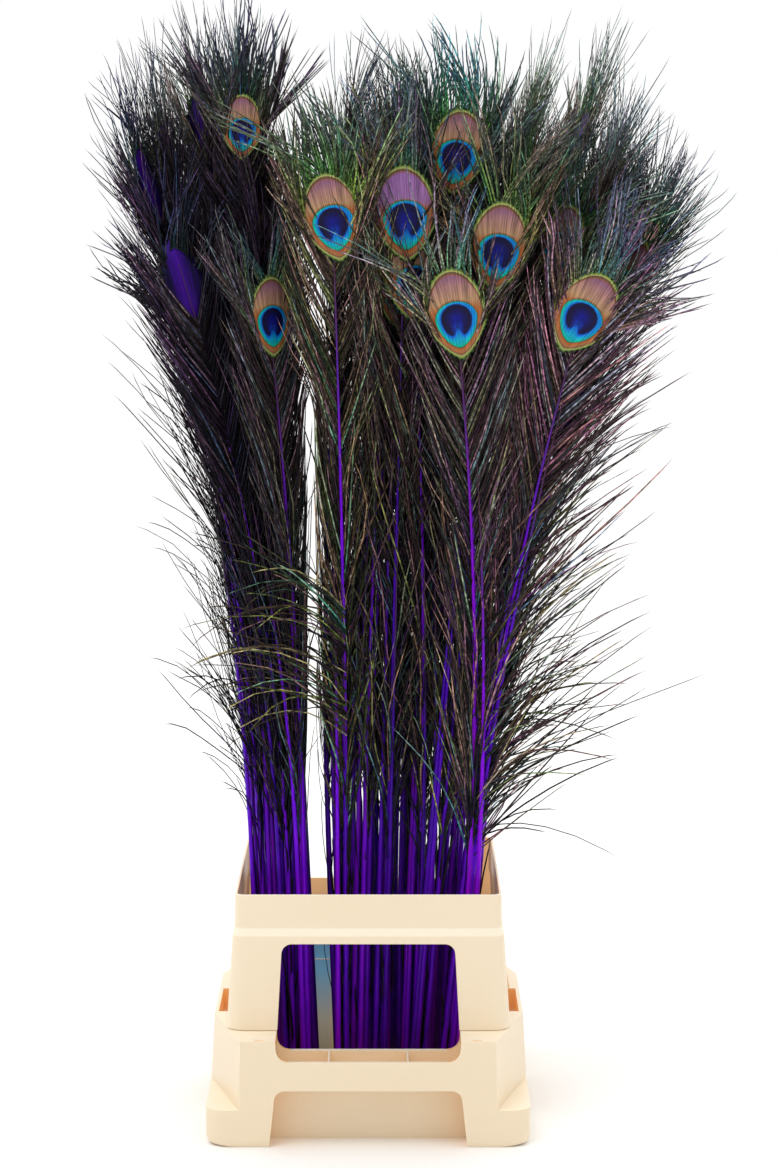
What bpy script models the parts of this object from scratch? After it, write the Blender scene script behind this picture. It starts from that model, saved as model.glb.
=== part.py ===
"""Two bunches of dyed peacock feathers standing in a plastic flower container.

Metres, +Z up. The origin is the middle of the container's underside, and the front faces -Y.
"""
import math
import random

import bmesh
import bpy
from mathutils import Vector

# Driving dimensions
CONTACT_GAP = 0.0003        # clearance between pieces that touch

# Base: a tub inside a skirt with long chamfered corners and four feet
BASE_HALF_X = 0.1525        # half width at the feet
BASE_HALF_Y = 0.2000        # half depth
BASE_TOP_HALF_X = 0.1487    # half width at the ledge
BASE_CORNER_RADIUS = 0.020
LEDGE_Z = 0.1010            # top of the base, where the collar stands
FOOT_TOP_Z = 0.0355         # flat top of each corner foot
CHAMFER_FRONT_X = 0.1190    # where a chamfer leaves the front face, at the ledge
CHAMFER_SIDE_Y = 0.0835     # where it meets the side face
TUB_FLOOR_Z = 0.0060        # inside floor, and the floor's thickness
TUB_HALF_X = 0.1155         # inside of the tub at its rim
TUB_HALF_Y = 0.1500
TUB_DRAFT = 0.0070          # how much narrower the tub is at its floor
TUB_CORNER_RADIUS = 0.0220
TUB_WALL = 0.0050
SILL_Z = 0.0815             # lowered sill at the front and the back
SILL_HALF_X = 0.0864
SILL_FLARE = 0.0010
SILL_RADIUS = 0.0120
ARCH_TOP_Z = 0.0540         # arch between two feet
ARCH_HALF_X = 0.0880
SIDE_ARCH_HALF_Y = 0.0550
ARCH_FLARE = 0.0070         # how much wider an arch is at the floor
ARCH_RADIUS = 0.0100
PANEL_Y = 0.1660            # recessed panel behind the front and back arches
SIDE_PANEL_X = 0.1260
SKIRT_WALL = 0.0035
TROUGH_HALF_X = 0.0862      # trough behind the front sill, split by two webs
WEB_X = 0.0370
WEB_HALF = 0.0009
SLOT_X = 0.1020             # small slots near the ledge's front and back edges
SLOT_HALF_LENGTH = 0.0040
SLOT_INSET = 0.0035
SLOT_WIDTH = 0.0025
SLOT_DEPTH = 0.0018
WELL_X = (0.1352, 0.1450)   # an open well in each side ledge, beside the collar
WELL_Y = (-0.0770, 0.0200)
WELL_DEPTH = 0.0200
FOOT_ROUND = 0.0080         # rounded lower edge of the block
CHAMFER_LEAN = 0.0018       # how much a chamfer steps out towards its foot
CHAMFER_OVERRUN = 0.4       # how far its cutter runs past both ends, as a share of its length
CUT_PAST = 0.0200           # how far a cutter reaches outside the solid it cuts

# Collar: a tapered frame with a narrower band around its rim, above a sloping shoulder
COLLAR_HALF_X = 0.1344      # outside, at the ledge
COLLAR_HALF_Y = 0.1570
COLLAR_TAPER = 0.0059       # how much narrower it is under the shoulder
COLLAR_WALL = 0.0025
COLLAR_RADIUS = 0.0180
COLLAR_INSIDE_RADIUS = 0.0040   # least radius of the inside corners
SHOULDER_IN = 0.0020        # the band is this much narrower
BAND_TAPER = 0.0005
SHOULDER_Z = 0.1915
BAND_Z = 0.1980
RIM_Z = 0.2300
RIM_ROUND = 0.0010
WINDOW_TOP_Z = 0.1830
WINDOW_HALF_X = 0.0820      # at the top of the window
WINDOW_FLARE = 0.0050
WINDOW_RADIUS = 0.0095
BACK_EDGE_Z = 0.1870        # the back wall is lower than the rim
BACK_EDGE_HALF_X = 0.1080
BACK_EDGE_FLARE = 0.0020
BACK_EDGE_RADIUS = 0.0120
LUG_FOOT_X = 0.1395         # a tapered lug on each side of the collar, behind the well
LUG_TOP_X = 0.1345
LUG_Y = (0.0250, 0.0650)
LUG_TOP_Z = 0.1370
LUG_SLOPE = 0.0080          # how far its top slopes down from the wall
LUG_INSET = 0.0040          # how deep its root sits in the wall's slope

# Feathers
QUILL_RADIUS = 0.0025       # at the cut end
TIP_RADIUS = 0.0005
VANE_START_Z = 0.3600       # below this the feather is bare quill
VANE_HALF_WIDTH = 0.0780    # to the tips of the loose barbs
TIP_ABOVE_EYE = 0.1150
EYE_WIDTH_SHARE = 0.92      # width at the eye, as a share of the widest place
VANE_PEAK = 0.62            # the vane is widest a little under the eye
VANE_FULLNESS = 0.8
QUILL_THINNING = 1.2
BARE_STATIONS = (0.12, RIM_Z)               # heights where the bare quill is measured out
VANE_STATIONS = (0.2, 0.45, 0.7, 0.88, 1.0)  # shares of the way from the vane's start to the eye
TIP_STATIONS = (0.45, 0.8, 1.0)             # shares of the way from the eye to the tip

# Each named feather: quill at the floor x, quill at the rim x, eye x, eye height z
RIGHT_FRONT_FEATHERS = (
    (0.084, 0.096, 0.082, 0.772),
    (0.070, 0.095, 0.199, 0.773),
    (-0.022, -0.022, -0.033, 0.861),
    (0.050, 0.068, 0.122, 0.834),
    (0.012, 0.018, 0.034, 0.864),
    (0.044, 0.050, 0.042, 0.804),
    (-0.005, 0.000, 0.022, 0.792),
    (0.032, 0.040, 0.083, 0.922),
    (0.078, 0.104, 0.183, 0.836),
)
LEFT_FRONT_FEATHERS = (
    (-0.072, -0.078, -0.171, 0.802),
    (-0.058, -0.062, -0.093, 0.768),
    (-0.098, -0.104, -0.199, 0.876),
    (-0.078, -0.084, -0.118, 0.946),
    (-0.066, -0.070, -0.103, 0.848),
)

# Every feather stands in a layer of its own from front to back. The layers fan out upwards.
LAYER_COUNT = 33
LAYER_STEP_AT_FLOOR = 0.0045
LAYER_STEP_AT_EYES = 0.00875
EYE_LEVEL_Z = 0.8500
GOLDEN_SHARE = 0.618034     # scatters the feathers evenly across the bunch
EYE_STRAY = 0.06            # how far an eye strays from its quill's place in the bunch

# Each bunch: seed, feathers behind the named ones, its first layer and the layers it spans,
# its width at the floor, the rim and the eyes, and the heights of the eyes
RIGHT_BUNCH = {
    "seed": 11, "more": 24, "first_layer": 0.0, "layer_span": 32,
    "floor_x": (-0.034, 0.094), "rim_x": (-0.044, 0.112), "eye_x": (-0.035, 0.278),
    "eye_z": (0.790, 0.925),
}
LEFT_BUNCH = {
    "seed": 5, "more": 12, "first_layer": 3.5, "layer_span": 24,
    "floor_x": (-0.100, -0.052), "rim_x": (-0.113, -0.062), "eye_x": (-0.198, -0.090),
    "eye_z": (0.800, 0.948),
}

CREAM_PLASTIC = ("cream_plastic", (0.90, 0.76, 0.53), 0.42)
VIOLET_FEATHER = ("violet_feather", (0.10, 0.02, 0.30), 0.55)


def clear_scene():
    for item in list(bpy.data.objects):
        bpy.data.objects.remove(item, do_unlink=True)


def make_material(name, colour, roughness):
    material = bpy.data.materials.new(name)
    material.use_nodes = True
    shader = material.node_tree.nodes["Principled BSDF"]
    shader.inputs["Base Color"].default_value = (*colour, 1.0)
    shader.inputs["Roughness"].default_value = roughness
    shader.inputs["Metallic"].default_value = 0.0
    return material


def make_object(name, mesh_bm, material=None):
    bmesh.ops.recalc_face_normals(mesh_bm, faces=mesh_bm.faces)
    mesh = bpy.data.meshes.new(name)
    mesh_bm.to_mesh(mesh)
    mesh_bm.free()
    item = bpy.data.objects.new(name, mesh)
    bpy.context.scene.collection.objects.link(item)
    if material:
        mesh.materials.append(material)
    return item


def join_rings(mesh_bm, rings, closed_loop=False):
    """Skin rings of equally many points, with caps or back to the first ring."""
    verts = [[mesh_bm.verts.new(point) for point in ring] for ring in rings]
    count = len(rings[0])
    pairs = list(zip(verts, verts[1:]))
    if closed_loop:
        pairs.append((verts[-1], verts[0]))
    for low, high in pairs:
        for i in range(count):
            j = (i + 1) % count
            mesh_bm.faces.new((low[i], low[j], high[j], high[i]))
    if not closed_loop:
        mesh_bm.faces.new(list(reversed(verts[0])))
        mesh_bm.faces.new(verts[-1])


def rounded_rectangle(half_x, half_y, radius, z, steps=8):
    points = []
    corners = ((1, 1, 0), (-1, 1, 90), (-1, -1, 180), (1, -1, 270))
    for side_x, side_y, start in corners:
        centre_x = side_x * (half_x - radius)
        centre_y = side_y * (half_y - radius)
        for i in range(steps + 1):
            angle = math.radians(start + 90.0 * i / steps)
            x = centre_x + radius * math.cos(angle)
            y = centre_y + radius * math.sin(angle)
            points.append((x, y, z))
    return points


def arch_outline(half, flare, low, top, radius, steps=6):
    """A portal in a plane: wider by flare at its foot, with two rounded upper corners."""
    outline = [(half + flare, low)]
    for i in range(steps + 1):
        angle = math.radians(90.0 * i / steps)
        across = half - radius + radius * math.cos(angle)
        outline.append((across, top - radius + radius * math.sin(angle)))
    return outline + [(-across, height) for across, height in reversed(outline)]


def notch_outline(half, flare, low, top, radius, steps=6):
    """A U in a plane: open at the top, with two rounded lower corners."""
    outline = [(half + flare, top)]
    for i in range(steps + 1):
        angle = math.radians(90.0 * i / steps)
        across = half - radius + radius * math.cos(angle)
        outline.append((across, low + radius - radius * math.sin(angle)))
    return outline + [(-across, height) for across, height in reversed(outline)]


def cutter_along_y(name, outline, y_from, y_to):
    mesh_bm = bmesh.new()
    join_rings(mesh_bm, [[(x, y, z) for x, z in outline] for y in (y_from, y_to)])
    return hide_cutter(make_object(name, mesh_bm))


def cutter_along_x(name, outline, x_from, x_to):
    mesh_bm = bmesh.new()
    join_rings(mesh_bm, [[(x, y, z) for y, z in outline] for x in (x_from, x_to)])
    return hide_cutter(make_object(name, mesh_bm))


def cutter_along_z(name, low_outline, high_outline, z_from, z_to):
    mesh_bm = bmesh.new()
    low_ring = [(x, y, z_from) for x, y in low_outline]
    high_ring = [(x, y, z_to) for x, y in high_outline]
    join_rings(mesh_bm, [low_ring, high_ring])
    return hide_cutter(make_object(name, mesh_bm))


def box_cutter(name, low, high):
    plan = ((low[0], low[1]), (high[0], low[1]), (high[0], high[1]), (low[0], high[1]))
    return cutter_along_z(name, plan, plan, low[2], high[2])


def hide_cutter(item):
    item.hide_render = True
    item.display_type = "WIRE"
    return item


def add_boolean(item, tool, operation="DIFFERENCE"):
    modifier = item.modifiers.new(tool.name, "BOOLEAN")
    modifier.operation = operation
    modifier.object = tool


def base_block(material):
    """The skirt and feet as one block, with a rounded lower edge."""
    radius = BASE_CORNER_RADIUS
    edge = FOOT_ROUND
    profile = [(edge, 0.0), (edge * 0.3, edge * 0.3), (0.0, edge)]
    mesh_bm = bmesh.new()
    rings = []
    for inset, z in profile:
        rings.append(rounded_rectangle(BASE_HALF_X - inset, BASE_HALF_Y - inset * 0.25, radius, z))
    rings.append(rounded_rectangle(BASE_HALF_X, BASE_HALF_Y, radius, FOOT_TOP_Z))
    rings.append(rounded_rectangle(BASE_TOP_HALF_X, BASE_HALF_Y, radius, LEDGE_Z))
    join_rings(mesh_bm, rings)
    return make_object("base", mesh_bm, material)


def corner_name(side_x, side_y):
    across = "right" if side_x > 0 else "left"
    along = "back" if side_y > 0 else "front"
    return across + "_" + along


def chamfer_cutter(side_x, side_y):
    """Takes off the block above one foot, outside the line of the chamfer."""
    front = Vector((side_x * CHAMFER_FRONT_X, side_y * BASE_HALF_Y))
    side = Vector((side_x * BASE_TOP_HALF_X, side_y * CHAMFER_SIDE_Y))
    run = side - front
    start = front - run * CHAMFER_OVERRUN
    end = side + run * CHAMFER_OVERRUN
    out = Vector((side_x * 0.08, side_y * 0.02))
    plan = (start, end, end + out, start + out)
    high = [(point.x, point.y) for point in plan]
    lean = side_x * CHAMFER_LEAN
    low = [(point.x + lean, point.y) for point in plan]
    name = "cut_chamfer_" + corner_name(side_x, side_y)
    return cutter_along_z(name, low, high, FOOT_TOP_Z, LEDGE_Z + CUT_PAST)


def underside_cutter(side_x, side_y):
    """Hollows one corner between the skirt and the tub, open at the bottom."""
    wall = SKIRT_WALL
    leg_x = ARCH_HALF_X + ARCH_FLARE + wall
    leg_y = SIDE_ARCH_HALF_Y + ARCH_FLARE + wall
    tub_y = TUB_HALF_Y + TUB_WALL
    corner = (
        (leg_x, BASE_HALF_Y - wall),
        (CHAMFER_FRONT_X - wall, BASE_HALF_Y - wall),
        (BASE_TOP_HALF_X - wall, CHAMFER_SIDE_Y - wall),
        (BASE_TOP_HALF_X - wall, leg_y),
        (TUB_HALF_X + TUB_WALL, leg_y),
        (TUB_HALF_X + TUB_WALL, tub_y),
        (leg_x, tub_y),
    )
    plan = [(side_x * x, side_y * y) for x, y in corner]
    name = "cut_under_" + corner_name(side_x, side_y)
    return cutter_along_z(name, plan, plan, -CUT_PAST, LEDGE_Z - wall)


def slot_cutter(side_x, side_y):
    """A small slot in the ledge, beside its front or back edge."""
    outer_y = BASE_HALF_Y - SLOT_INSET
    y_pair = sorted((side_y * outer_y, side_y * (outer_y - SLOT_WIDTH)))
    low_corner = (side_x * SLOT_X - SLOT_HALF_LENGTH, y_pair[0], LEDGE_Z - SLOT_DEPTH)
    high_corner = (side_x * SLOT_X + SLOT_HALF_LENGTH, y_pair[1], LEDGE_Z + CUT_PAST)
    return box_cutter("cut_slot_" + corner_name(side_x, side_y), low_corner, high_corner)


def trough_pockets():
    inner = WEB_X - WEB_HALF
    outer = WEB_X + WEB_HALF
    return ((-TROUGH_HALF_X, -outer), (-inner, inner), (outer, TROUGH_HALF_X))


def build_base(material):
    base = base_block(material)
    for side_x in (-1, 1):
        for side_y in (-1, 1):
            add_boolean(base, chamfer_cutter(side_x, side_y))
    radius = TUB_CORNER_RADIUS
    low = rounded_rectangle(TUB_HALF_X - TUB_DRAFT, TUB_HALF_Y - TUB_DRAFT, radius, TUB_FLOOR_Z)
    high = rounded_rectangle(TUB_HALF_X, TUB_HALF_Y, radius, LEDGE_Z + CUT_PAST)
    mesh_bm = bmesh.new()
    join_rings(mesh_bm, [low, high])
    add_boolean(base, hide_cutter(make_object("cut_tub", mesh_bm)))
    sill = notch_outline(SILL_HALF_X, SILL_FLARE, SILL_Z, LEDGE_Z + CUT_PAST, SILL_RADIUS)
    add_boolean(base, cutter_along_y("cut_sill", sill, -BASE_HALF_Y - CUT_PAST, -TUB_HALF_Y + CUT_PAST))
    for index, pocket in enumerate(trough_pockets()):
        low_corner = (pocket[0], SKIRT_WALL - BASE_HALF_Y, ARCH_TOP_Z + SKIRT_WALL)
        high_corner = (pocket[1], -TUB_HALF_Y - TUB_WALL, LEDGE_Z)
        add_boolean(base, box_cutter("cut_trough_%d" % (index + 1), low_corner, high_corner))
    arch = arch_outline(ARCH_HALF_X, ARCH_FLARE, -CUT_PAST, ARCH_TOP_Z, ARCH_RADIUS)
    side_arch = arch_outline(SIDE_ARCH_HALF_Y, ARCH_FLARE, -CUT_PAST, ARCH_TOP_Z, ARCH_RADIUS)
    for side in (-1, 1):
        end = "front" if side < 0 else "back"
        outer_y = side * (BASE_HALF_Y + CUT_PAST)
        add_boolean(base, cutter_along_y("cut_arch_" + end, arch, outer_y, side * PANEL_Y))
        for side_x in (-1, 1):
            add_boolean(base, slot_cutter(side_x, side))
    for side in (-1, 1):
        end = "left" if side < 0 else "right"
        outer_x = side * (BASE_HALF_X + CUT_PAST)
        add_boolean(base, cutter_along_x("cut_arch_" + end, side_arch, outer_x, side * SIDE_PANEL_X))
        for side_y in (-1, 1):
            add_boolean(base, underside_cutter(side, side_y))
        x_pair = sorted(side * x for x in WELL_X)
        low_corner = (x_pair[0], WELL_Y[0], LEDGE_Z - WELL_DEPTH)
        high_corner = (x_pair[1], WELL_Y[1], LEDGE_Z + CUT_PAST)
        add_boolean(base, box_cutter("cut_well_" + end, low_corner, high_corner))
    return base


def collar_ring(inset, z):
    radius = max(COLLAR_RADIUS - inset, COLLAR_INSIDE_RADIUS)
    return rounded_rectangle(COLLAR_HALF_X - inset, COLLAR_HALF_Y - inset, radius, z)


def lug_tool(side):
    """A wedge on one side wall of the collar, wider at its foot."""
    inner = side * (COLLAR_HALF_X - COLLAR_TAPER - LUG_INSET)
    foot = side * LUG_FOOT_X
    top = side * LUG_TOP_X
    foot_z = LEDGE_Z + CONTACT_GAP
    lug = ((inner, foot_z), (foot, foot_z), (top, LUG_TOP_Z - LUG_SLOPE), (inner, LUG_TOP_Z))
    mesh_bm = bmesh.new()
    join_rings(mesh_bm, [[(x, y, z) for x, z in lug] for y in LUG_Y])
    return hide_cutter(make_object("lug_left" if side < 0 else "lug_right", mesh_bm))


def build_collar(material):
    foot_z = LEDGE_Z + CONTACT_GAP
    taper = COLLAR_TAPER
    wall = COLLAR_WALL
    band = taper + SHOULDER_IN
    rim = band + BAND_TAPER
    profile = (
        (0.0, foot_z),
        (taper, SHOULDER_Z),
        (band, BAND_Z),
        (rim, RIM_Z - RIM_ROUND),
        (rim + RIM_ROUND, RIM_Z),
        (rim + wall, RIM_Z),
        (band + wall, BAND_Z),
        (taper + wall, SHOULDER_Z),
        (wall, foot_z),
    )
    mesh_bm = bmesh.new()
    join_rings(mesh_bm, [collar_ring(inset, z) for inset, z in profile], closed_loop=True)
    collar = make_object("collar", mesh_bm, material)
    window = arch_outline(WINDOW_HALF_X, WINDOW_FLARE, LEDGE_Z - CUT_PAST, WINDOW_TOP_Z, WINDOW_RADIUS)
    dip = notch_outline(BACK_EDGE_HALF_X, BACK_EDGE_FLARE, BACK_EDGE_Z, RIM_Z + CUT_PAST, BACK_EDGE_RADIUS)
    for side in (-1, 1):
        add_boolean(collar, lug_tool(side), "UNION")
    reach_y = COLLAR_HALF_Y + CUT_PAST
    inside_y = COLLAR_HALF_Y - COLLAR_RADIUS - CUT_PAST
    add_boolean(collar, cutter_along_y("cut_window", window, -reach_y, -inside_y))
    add_boolean(collar, cutter_along_y("cut_back_edge", dip, inside_y, reach_y))
    return collar


def spread(pair, share):
    return pair[0] + (pair[1] - pair[0]) * share


def quill_radius(z, top_z):
    share = z / top_z
    return QUILL_RADIUS + (TIP_RADIUS - QUILL_RADIUS) * share ** QUILL_THINNING


def vane_half_width(z, eye_z, top_z):
    """Half width of the vane at height z: nothing on the bare quill, a point at the top."""
    if z <= VANE_START_Z:
        return 0.0
    if z >= eye_z:
        left = (top_z - z) / (top_z - eye_z)
        return VANE_HALF_WIDTH * EYE_WIDTH_SHARE * math.sqrt(max(left, 0.0)) + TIP_RADIUS
    grown = (z - VANE_START_Z) / (eye_z - VANE_START_Z)
    return VANE_HALF_WIDTH * math.sin(math.pi * VANE_PEAK * grown) ** VANE_FULLNESS


def feather_path(quill, z):
    """Centre of the feather at height z: straight to the rim, then a curve through its eye."""
    floor_x, rim_x, eye_x, eye_z, layers_from_middle = quill
    start_slope = (rim_x - floor_x) / RIM_Z
    y = layers_from_middle * spread((LAYER_STEP_AT_FLOOR, LAYER_STEP_AT_EYES), z / EYE_LEVEL_Z)
    if z <= RIM_Z:
        return floor_x + start_slope * z, y
    rise = eye_z - RIM_Z
    bend = (eye_x - rim_x - start_slope * rise) / (rise * rise)
    above = z - RIM_Z
    return rim_x + start_slope * above + bend * above * above, y


def build_feather(name, quill, material):
    eye_z = quill[3]
    foot_z = TUB_FLOOR_Z + CONTACT_GAP
    top_z = eye_z + TIP_ABOVE_EYE
    stations = [foot_z, *BARE_STATIONS, VANE_START_Z]
    stations += [spread((VANE_START_Z, eye_z), share) for share in VANE_STATIONS]
    stations += [spread((eye_z, top_z), share) for share in TIP_STATIONS]
    rings = []
    for z in stations:
        x, y = feather_path(quill, z)
        radius = quill_radius(z, top_z)
        half_width = max(vane_half_width(z, eye_z, top_z), radius)
        right, left = (x + half_width, y, z), (x - half_width, y, z)
        back, front = (x, y + radius, z), (x, y - radius, z)
        rings.append([right, back, left, front])
    mesh_bm = bmesh.new()
    join_rings(mesh_bm, rings)
    return make_object(name, mesh_bm, material)


def bunch_quills(front, bunch):
    """The named feathers at the front, then the rest of the bunch behind them."""
    chooser = random.Random(bunch["seed"])
    total = len(front) + bunch["more"]
    quills = []
    for index in range(total):
        layer = bunch["first_layer"] + int(index * bunch["layer_span"] / (total - 1))
        layers_from_middle = layer - (LAYER_COUNT - 1) / 2
        if index < len(front):
            quills.append((*front[index], layers_from_middle))
            continue
        share = (index * GOLDEN_SHARE) % 1.0
        stray = chooser.uniform(-EYE_STRAY, EYE_STRAY)
        eye_share = min(max(share + stray, 0.0), 1.0)
        floor_x = spread(bunch["floor_x"], share)
        rim_x = spread(bunch["rim_x"], share)
        eye_x = spread(bunch["eye_x"], eye_share)
        eye_z = spread(bunch["eye_z"], chooser.random())
        quills.append((floor_x, rim_x, eye_x, eye_z, layers_from_middle))
    return quills


def build_feathers(material):
    quills = bunch_quills(LEFT_FRONT_FEATHERS, LEFT_BUNCH)
    quills += bunch_quills(RIGHT_FRONT_FEATHERS, RIGHT_BUNCH)
    for index, quill in enumerate(quills):
        build_feather("feather_%02d" % (index + 1), quill, material)


def main():
    clear_scene()
    cream = make_material(*CREAM_PLASTIC)
    violet = make_material(*VIOLET_FEATHER)
    build_base(cream)
    build_collar(cream.copy())
    build_feathers(violet)


main()
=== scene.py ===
import math

import bmesh
import bpy
import numpy as np
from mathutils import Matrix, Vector


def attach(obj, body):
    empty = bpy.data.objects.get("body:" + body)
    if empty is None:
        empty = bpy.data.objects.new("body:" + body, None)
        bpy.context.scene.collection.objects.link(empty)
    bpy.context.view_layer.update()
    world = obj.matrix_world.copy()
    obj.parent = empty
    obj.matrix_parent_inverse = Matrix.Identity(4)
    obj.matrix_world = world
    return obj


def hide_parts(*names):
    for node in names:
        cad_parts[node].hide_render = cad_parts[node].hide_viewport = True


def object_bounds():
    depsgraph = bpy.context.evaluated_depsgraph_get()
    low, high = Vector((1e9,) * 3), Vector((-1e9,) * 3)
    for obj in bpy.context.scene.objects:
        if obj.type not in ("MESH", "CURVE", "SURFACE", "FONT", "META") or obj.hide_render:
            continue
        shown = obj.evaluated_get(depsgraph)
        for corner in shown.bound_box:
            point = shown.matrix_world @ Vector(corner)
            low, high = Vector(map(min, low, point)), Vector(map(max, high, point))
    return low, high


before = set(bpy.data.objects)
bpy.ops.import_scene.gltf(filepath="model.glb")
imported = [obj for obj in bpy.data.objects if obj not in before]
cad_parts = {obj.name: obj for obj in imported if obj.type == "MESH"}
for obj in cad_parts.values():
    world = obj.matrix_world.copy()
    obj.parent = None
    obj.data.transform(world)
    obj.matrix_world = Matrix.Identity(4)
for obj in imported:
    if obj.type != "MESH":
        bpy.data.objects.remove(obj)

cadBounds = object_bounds()
boxLow = np.array(cadBounds[0])
boxHigh = np.array(cadBounds[1])
print("frame loaded:", len(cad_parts), "pieces")

cameraLook = {
    "place": (0.0195, -3.394, 0.894),   # metres, in front of the window side
    "tiltDown": 6.489,                  # degrees
    "lens": 107.9, "sensor": 36.0,        # millimetres
}

studioLook = {
    "floorColour": (0.96, 0.96, 0.955),
    "floorReach": 40.0,                 # metres
    "skyColour": (1.0, 1.0, 1.0),
    "skyBack": 1.0, "skyFront": 0.62, "skyTop": 0.45,   # strength behind, in front and overhead
    "aim": (0.03, 0.0, 0.55),           # where the lights point
    "keyPower": 26.0, "keyPlace": (-1.1, -1.6, 3.4), "keySize": 1.4,
    "fillPower": 3.0, "fillPlace": (2.1, -2.2, 1.5), "fillSize": 1.8,
    "rimPower": 12.0, "rimPlace": (0.6, 2.4, 2.3), "rimSize": 1.4,
}

# Every feather: metres and counts, apart from the turn in degrees
featherLook = {
    "seed": 7,
    "eyeBelowTip": 0.115,        # from the eye's middle to the top of the feather
    "quillRadius": 0.0031, "quillTipRadius": 0.0004, "quillTaper": 1.15,
    "quillSides": 8, "quillRings": 16, "quillPastEye": 0.042,
    "extraQuills": 2, "extraSides": 6, "extraRings": 10,    # bare quills beside each feather's own
    "bakeRow": 0.505, "bakeStep": 0.045,                    # where the quills lie on the baked texture
    "extraTop": (0.50, 0.78), "extraReach": 0.013, "extraBehind": (-0.010, 0.003),
    "vaneStart": 0.25, "vaneStray": 0.10,                   # height of the lowest loose barb, and its play
    "crowd": 430, "frontCrowd": 690,    # barbs of a feather, and of one in the front row
    "turn": (48.0, 125.0),
    "eyeSize": (0.92, 1.02), "eyeAhead": 0.0012,
    "dyedCast": 0.95, "leftCast": (0.5, 0.88), "rightCast": (0.0, 0.46),    # place on the barbs' cast ramp
}
lastLeft = 17     # feathers 1 to 17 stand in the left bunch, 18 to 50 in the right one
# Feathers that turn their back to the front, with pink eyes, and in the front row
backToFront = {"feather_01", "feather_03", "feather_05"}
pinkEyes = {"feather_22"}
frontRow = {"feather_%02d" % n for n in (*range(1, 6), *range(18, 25))}
# What sets a feather apart. turn about the quill and lean of the eye to the right, in degrees; cast of its
# barbs; stretch of the eye, left to right and up and down; drop: metres that the eye sits further down;
# clear: share of the barbs that may cross an eye that shows, and how narrow the eye looks from the front
ownLook = {
    "feather_01": {"turn": 35.0, "stretch": (0.80, 1.35), "drop": 0.022, "clear": (0.25, 0.7)},
    "feather_02": {"turn": 42.0, "stretch": (0.92, 0.92), "lean": 5.0, "clear": (0.70, 0.6)},
    "feather_03": {"turn": 62.0, "stretch": (0.75, 1.50), "drop": 0.006, "clear": (0.20, 0.5)},
    "feather_04": {"turn": -6.0, "stretch": (0.68, 0.72), "lean": 4.0, "clear": (0.60, 0.7)},
    "feather_05": {"turn": 72.0, "stretch": (0.75, 1.50), "drop": -0.020, "clear": (0.12, 0.5)},
    "feather_18": {"turn": 0.0, "cast": 0.10, "lean": -3.0, "clear": (0.02, 1.0)},
    "feather_19": {"turn": 4.0, "cast": 0.02, "stretch": (1.06, 0.98), "lean": 16.0, "clear": (0.03, 1.0)},
    "feather_20": {"turn": 6.0, "cast": 0.34, "stretch": (0.92, 0.92), "lean": -10.0, "clear": (0.08, 0.9)},
    "feather_21": {"turn": -4.0, "cast": 0.36, "clear": (0.10, 1.0)},
    "feather_22": {"turn": 8.0, "cast": 0.06, "lean": -5.0, "clear": (0.10, 1.0)},
    "feather_23": {"turn": 24.0},
    "feather_24": {"turn": 50.0, "stretch": (0.75, 0.75), "clear": (0.30, 0.6)},
    "feather_25": {"turn": 0.0, "cast": 0.26, "stretch": (0.90, 0.90), "lean": 3.0, "clear": (0.12, 0.9)},
    "feather_26": {"turn": -40.0, "stretch": (0.85, 0.85), "lean": 12.0, "clear": (0.70, 0.6)},
}

# The eye as nested outlines from its middle outwards, in metres: share of the way out, half width, reach up,
# reach down, and the roundness of the lower end in two powers
eyeOutlines = (
    (0.00, 0.0000, 0.0000, 0.0000, 0.50, 2.00),
    (0.30, 0.0146, 0.0138, 0.0180, 0.50, 2.00),
    (0.50, 0.0206, 0.0165, 0.0290, 0.60, 1.60),
    (0.86, 0.0272, 0.0455, 0.0360, 0.66, 1.40),
    (1.00, 0.0312, 0.0505, 0.0420, 0.70, 1.26),
)
eyeLook = {
    "thickness": 0.0010, "angles": 28, "frontAngles": 84, "ragged": 0.035,
    "rings": (0.12, 0.22, 0.30, 0.36, 0.43, 0.50, 0.56, 0.66, 0.76, 0.86, 0.93, 1.0),
    "backRings": (0.45, 0.80), "edge": 0.2,             # the rim's share of the thickness
    "bulge": 0.0035, "bulgeReach": 0.031, "tipFall": 0.9, "fallFrom": 0.02,
    "notchDepth": 0.62, "notchSpread": 0.24, "notchEnd": 0.42, "notchFade": 0.12,    # the heart's notch
}
# Barbs: rings along each, and how its middle line waves and curls
barbLook = {
    "steps": (0.0, 0.17, 0.34, 0.52, 0.72, 0.91, 1.0),
    "wave": 0.022, "waveTurns": 1.6, "curl": 0.045, "curlTurns": 4.2,
    "taper": 0.45, "thickness": 0.0003, "ridge": 1.6,
}
# How far barbs may reach past the frame's box, and how softly they stop: metres
reachLook = {"side": 0.024, "front": 0.014, "top": 0.036, "soft": 0.03, "gapSoft": 0.012, "noLimit": 1.0}
gapLook = {"middle": -0.055, "half": 0.004, "top": 0.74, "fade": 0.05}   # the gap between the two bunches
# An eye is kept clear within this ellipse, in metres, by barbs in front of it
clearLook = {"halfWidth": 0.026, "halfHeight": 0.044, "raise": 0.004, "ahead": 0.004}


def addNode(tree, kind, place=(0, 0), **settings):
    node = tree.nodes.new(kind)
    node.location = place
    for key, value in settings.items():
        setattr(node, key, value)
    return node


def joinNodes(tree, source, target):
    tree.links.new(source, target)


def setInput(tree, socket, value):
    # a number or a colour is set on the socket, and an output is linked to it
    if isinstance(value, (int, float)):
        socket.default_value = value
    elif isinstance(value, tuple):
        socket.default_value = (*value, 1.0)
    else:
        joinNodes(tree, value, socket)


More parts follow.
